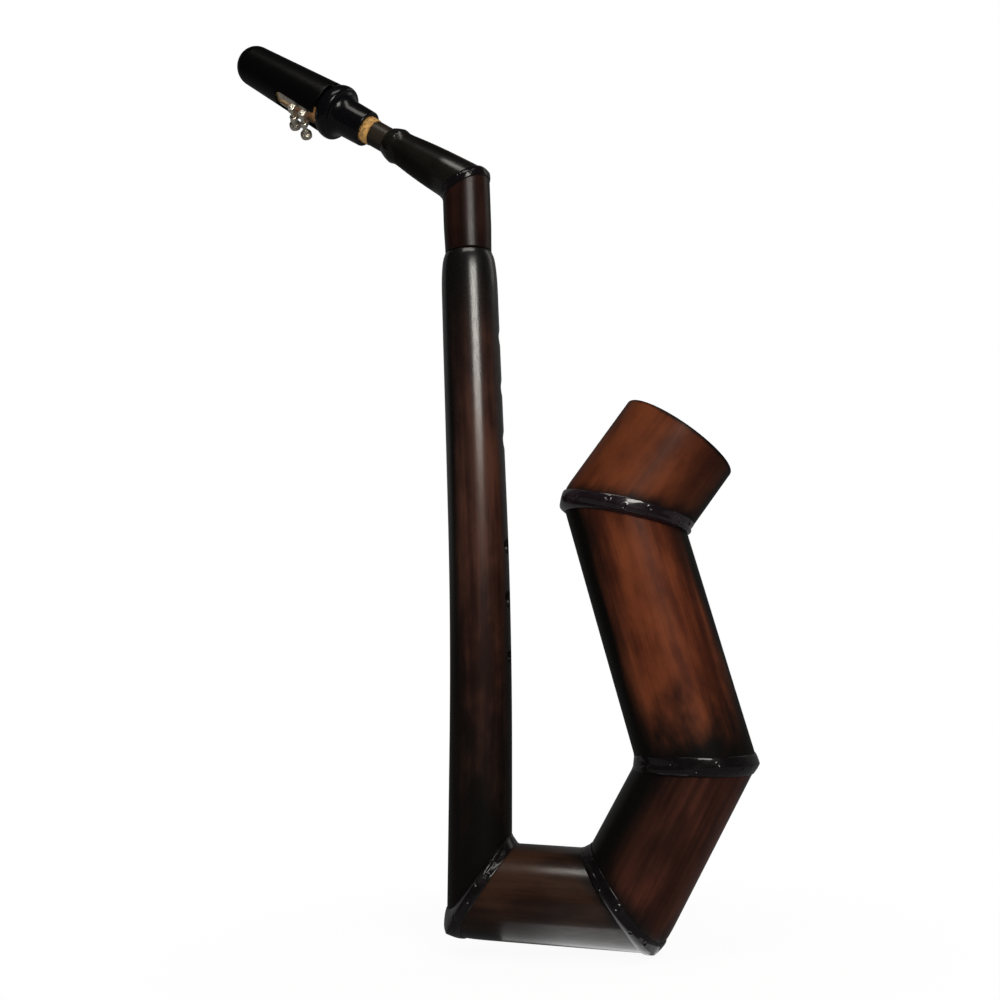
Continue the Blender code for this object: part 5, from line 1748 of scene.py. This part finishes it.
    def build_screw(self, name: str, place: float, out: float, finish: bpy.types.Material) -> None:
        """A threaded shank, a stem and a knurled round knob.

        Args:
            name: of the screw.
            place: along the mouthpiece.
            out: how far it stands out of the barrel.
            finish: its material.
        """
        axis, edge, wide = 0.02 * MM, self.knob_edge, self.knob_radius
        barrel_end = self.band_half_opening + self.barrel_length
        start, stem = -barrel_end - self.screw_past, barrel_end + FIT + out
        knob = stem + self.stem_length
        end = knob + self.knob_length
        line = [(axis, start), (self.screw_radius - 0.4 * MM, start)]
        line += [(self.screw_radius - self.thread_depth * (step % 2), blend(start + 0.4 * MM, stem, step / 40.0))
                 for step in range(41)]
        line += [(self.stem_radius, stem), (self.stem_radius, knob - 0.5 * MM), (self.stem_radius + 0.5 * MM, knob)]
        line += arc((wide - edge, knob + edge), (edge, edge), -90.0, 0.0, 5)
        line += arc((wide - edge, end - edge), (edge, edge), 0.0, 90.0, 5)
        line += [(wide - 1.5 * MM, end), (wide - 1.8 * MM, end - 0.35 * MM), (axis, end - 0.35 * MM)]

        def knurl(turn: Array, along_it: Array) -> Array:
            """Flutes round the knob: -depth |sin 15 a| where the place lies on the knob's side."""
            on_side = (smoothstep(knob + 0.4 * MM, knob + 1.0 * MM, along_it)
                       * smoothstep(end - 0.4 * MM, end - 1.0 * MM, along_it))
            return -self.knurl_depth * on_side * np.abs(np.sin(15.0 * turn))

        made = revolve(f"ligature_screw_{name}_nickel", line, self.screw_pose(place), 240, uneven=knurl)
        self.dress(made, finish, Finish.NICKEL, f"screw_{name}", f"ligature_screw_{name}", 45.0)

    def build_cap(self) -> None:
        """The cap: a cone with a domed end and an even wall, slotted on the reed side."""
        edge, wall = self.cap_edge, self.cap_wall
        dome, lip = self.cap_place - self.cap_dome, self.front_place + FIT + edge
        line = arc((0.0, dome), (self.cap_end, self.cap_dome), 89.6, 0.0, 28)
        line += [(blend(self.cap_end, self.cap_open, share), blend(dome, lip, share))
                 for share in np.linspace(0.0, 1.0, 30)[1:]]
        line += arc((self.cap_open - edge, lip), (edge, edge), -30.0, -150.0, 5)
        line += [(blend(self.cap_open, self.cap_end, share) - wall, blend(lip, dome, share))
                 for share in np.linspace(0.0, 1.0, 20)]
        line += arc((0.0, dome), (self.cap_end - wall, self.cap_dome - wall), 0.0, 89.6, 20)[1:]
        made = revolve("mouthpiece_cap_shell", line, self.pose, 256)
        subtract(made, self.slot_tool())
        set_grain(made, self.pose.local)
        self.dress(made, CapPlastic("cap_black").material(), Finish.CAP, "cap", "mouthpiece_cap", 35.0)

    def slot_tool(self) -> bpy.types.Object:
        """What is cut out for the screws: an outline with round corners, carried outwards on the reed side.

        Returns:
            The tool.
        """
        corner, half, open_end = self.slot_corner, self.slot_half_width, -5 * MM
        outline = [(-half, open_end)]
        outline += arc((-half + corner, self.slot_end - corner), (corner, corner), 180.0, 90.0, 12)
        outline += arc((half - corner, self.slot_end - corner), (corner, corner), 90.0, 0.0, 12)
        flat = np.array(outline + [(half, open_end)])
        local = np.array([np.insert(flat, 0, -depth, axis=1) for depth in (2 * MM, 40 * MM)])
        return loft("slot_tool", self.pose.world(local), local)


# Stage, light and camera

@dataclass(frozen=True)
class Lamp:
    """A rectangular soft lamp that looks at the instrument.

    Attributes:
        name: of the lamp.
        azimuth: degrees from the front towards +X.
        rise: degrees above the level of the target.
        distance: from the target.
        size: width and height.
        power: in watts.
    """

    name: str
    azimuth: float
    rise: float
    distance: float
    size: Pair
    power: float


@dataclass(frozen=True)
class Studio:
    """White stage, soft lamps and the camera of the photograph."""

    camera_place: Triple = (0.01035, -0.7670, -0.09514)
    camera_forward: Triple = (0.00429, 0.99303, 0.11781)
    camera_up: Triple = (0.03614, -0.11788, 0.99237)
    focal: float = 1.297             # focal length over image width
    sensor: float = 36.0
    floor_gap: float = 1.0 * MM
    floor_half: float = 3.0
    floor_depth: Pair = (-0.5, 1.9)
    wall_start: float = 0.7
    wall_height: float = 2.6
    lamps: tuple[Lamp, ...] = (Lamp("strip_right", 16.0, 22.0, 1.15, (0.46, 0.42), 7.4),
                               Lamp("sky_front", 0.0, 66.0, 1.2, (0.7, 0.30), 3.2),
                               Lamp("edge_right", 115.0, 35.0, 1.3, (0.4, 0.6), 0.6))
    lamp_colour: Triple = (1.0, 0.965, 0.90)
    shine_size: Pair = (0.100, 0.034)
    shine_place: Pair = (0.050, -0.033)
    shine_turn: float = -12.5
    shine_power: float = 0.012
    gloss_dim: float = 0.86          # how much less of the floor shows in gloss
    gloss_backdrop: float = 0.14     # and how much of the backdrop does

    def build(self) -> None:
        """Floor, lamps, world and camera."""
        lowest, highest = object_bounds()
        floor_z = float(lowest[2]) - self.floor_gap
        self.build_floor(floor_z)
        middle = vec(0.02, -0.01, 0.5 * (float(lowest[2]) + float(highest[2])))
        for lamp in self.lamps:
            turn, level = math.radians(lamp.azimuth), math.radians(lamp.rise)
            way = vec(math.sin(turn) * math.cos(level), -math.cos(turn) * math.cos(level), math.sin(level))
            facing = Vector(way).to_track_quat("Z", "Y").to_euler()
            self.panel(lamp.name, lamp.size, lamp.power, middle + way * lamp.distance, facing, self.lamp_colour)
        shine = self.panel("table_shine", self.shine_size, self.shine_power, (*self.shine_place, floor_z + 0.5 * MM),
                           (math.pi, 0.0, math.radians(self.shine_turn)))
        shine.visible_camera = shine.visible_diffuse = shine.visible_transmission = False
        self.build_world()
        self.build_camera()

    def panel(self, name: str, size: Pair, power: float, place: Sequence[float], turned: Sequence[float],
              colour: Triple = (1.0, 1.0, 1.0)) -> bpy.types.Object:
        """An area lamp. The one called table_shine stands for the pale table's own shine under the bow.

        Args:
            name: of the lamp.
            size: width and height.
            power: in watts.
            place: of its middle.
            turned: its Euler angles; it shines along its own -Z.
            colour: of its light.

        Returns:
            The lamp.
        """
        data = bpy.data.lights.new(name, "AREA")
        data.shape = "RECTANGLE"
        data.size, data.size_y = size
        data.energy = power
        data.color = colour
        made = bpy.data.objects.new(name, data)
        made.location = place
        made.rotation_euler = turned
        bpy.context.scene.collection.objects.link(made)
        return made

    def build_floor(self, level: float) -> None:
        """A pale floor that rises behind into a wall: z = level + h s(y) with a smooth step s.

        It is white to the camera, a little darker near the foot, and dim in gloss.

        Args:
            level: height of the floor.
        """
        x, y = np.linspace(-self.floor_half, self.floor_half, 9), np.linspace(*self.floor_depth, 60)
        grid_x, grid_y = np.meshgrid(x, y, indexing="xy")
        rise = self.wall_height * smoothstep(self.wall_start, self.floor_depth[1], grid_y) ** 1.5
        points = np.stack([grid_x, grid_y, level + rise], axis=-1).reshape(-1, 3)
        corner = (np.arange(len(y) - 1)[:, None] * len(x) + np.arange(len(x) - 1)).ravel()
        faces = np.stack([corner, corner + 1, corner + len(x) + 1, corner + len(x)], axis=-1).tolist()
        made = new_object("pale_floor", points, faces)
        material, graph = new_material("stage_white")
        camera, through, gloss = graph.rays()
        near = graph.vector("DISTANCE", graph.value("ShaderNodeTexCoord", "Object"), (0.04, 0.0, level))
        shown = (camera + through + gloss).least(1.0) * (0.94 + 0.06 * near.between(0.15, 0.28))
        plain = graph.value("ShaderNodeBsdfDiffuse", 0, None, {"Color": (0.86, 0.86, 0.86, 1.0)})
        pale = graph.either(shown, plain, graph.emission(1.0))
        dimmed = graph.either(gloss * self.gloss_dim, pale, graph.emission(0.0))
        graph.node("ShaderNodeOutputMaterial", None, {"Surface": dimmed})
        made.data.materials.append(material)
        made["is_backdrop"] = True

    def build_world(self) -> None:
        """White to the camera, an even grey for light, and for gloss a dark room with a pale backdrop.

        The backdrop's share is a smooth step of the direction's part towards the back and the right.
        """
        world = bpy.data.worlds.new("studio")
        bpy.context.scene.world = world
        world.use_nodes = True
        graph = Graph(world.node_tree)
        way = graph.value("ShaderNodeTexCoord", "Generated")
        behind = graph.dot(way, unit(vec(0.75, 0.66, 0.0))).between(0.45, 1.0) * self.gloss_backdrop
        camera, through, gloss = graph.rays()
        room = graph.mix(gloss, (0.62, 0.62, 0.63), (0.008, 0.008, 0.009))
        colour = graph.mix((camera + through + gloss * behind).least(1.0), room, (1.0, 1.0, 1.0))
        light = graph.value("ShaderNodeBackground", 0, None, {"Color": colour, "Strength": 1.0})
        graph.node("ShaderNodeOutputWorld", None, {"Surface": light})

    def build_camera(self) -> None:
        """The camera, turned as the photograph's."""
        data = bpy.data.cameras.new("camera")
        data.sensor_width = self.sensor
        data.lens = self.focal * self.sensor
        made = bpy.data.objects.new("camera", data)
        forward = unit(np.array(self.camera_forward))
        side = unit(np.cross(forward, np.array(self.camera_up)))
        axes = (side, np.cross(side, forward), -forward, np.array(self.camera_place))
        for column, vector in enumerate(axes):
            for row in range(3):
                made.matrix_world[row][column] = float(vector[row])
        bpy.context.scene.collection.objects.link(made)
        bpy.context.scene.camera = made


def main() -> None:
    """Load the frame, build the instrument and the studio; each piece's face count is logged as it is built."""
    logging.basicConfig(level=logging.INFO, format="%(name)s %(message)s")
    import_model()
    neck = Neck()
    for assembly in (BodyAndBell(), neck, MouthpieceGroup(neck)):
        assembly.build()
    Studio().build()
    bpy.context.scene.view_settings.view_transform = "Standard"


if __name__ == "__main__":
    main()
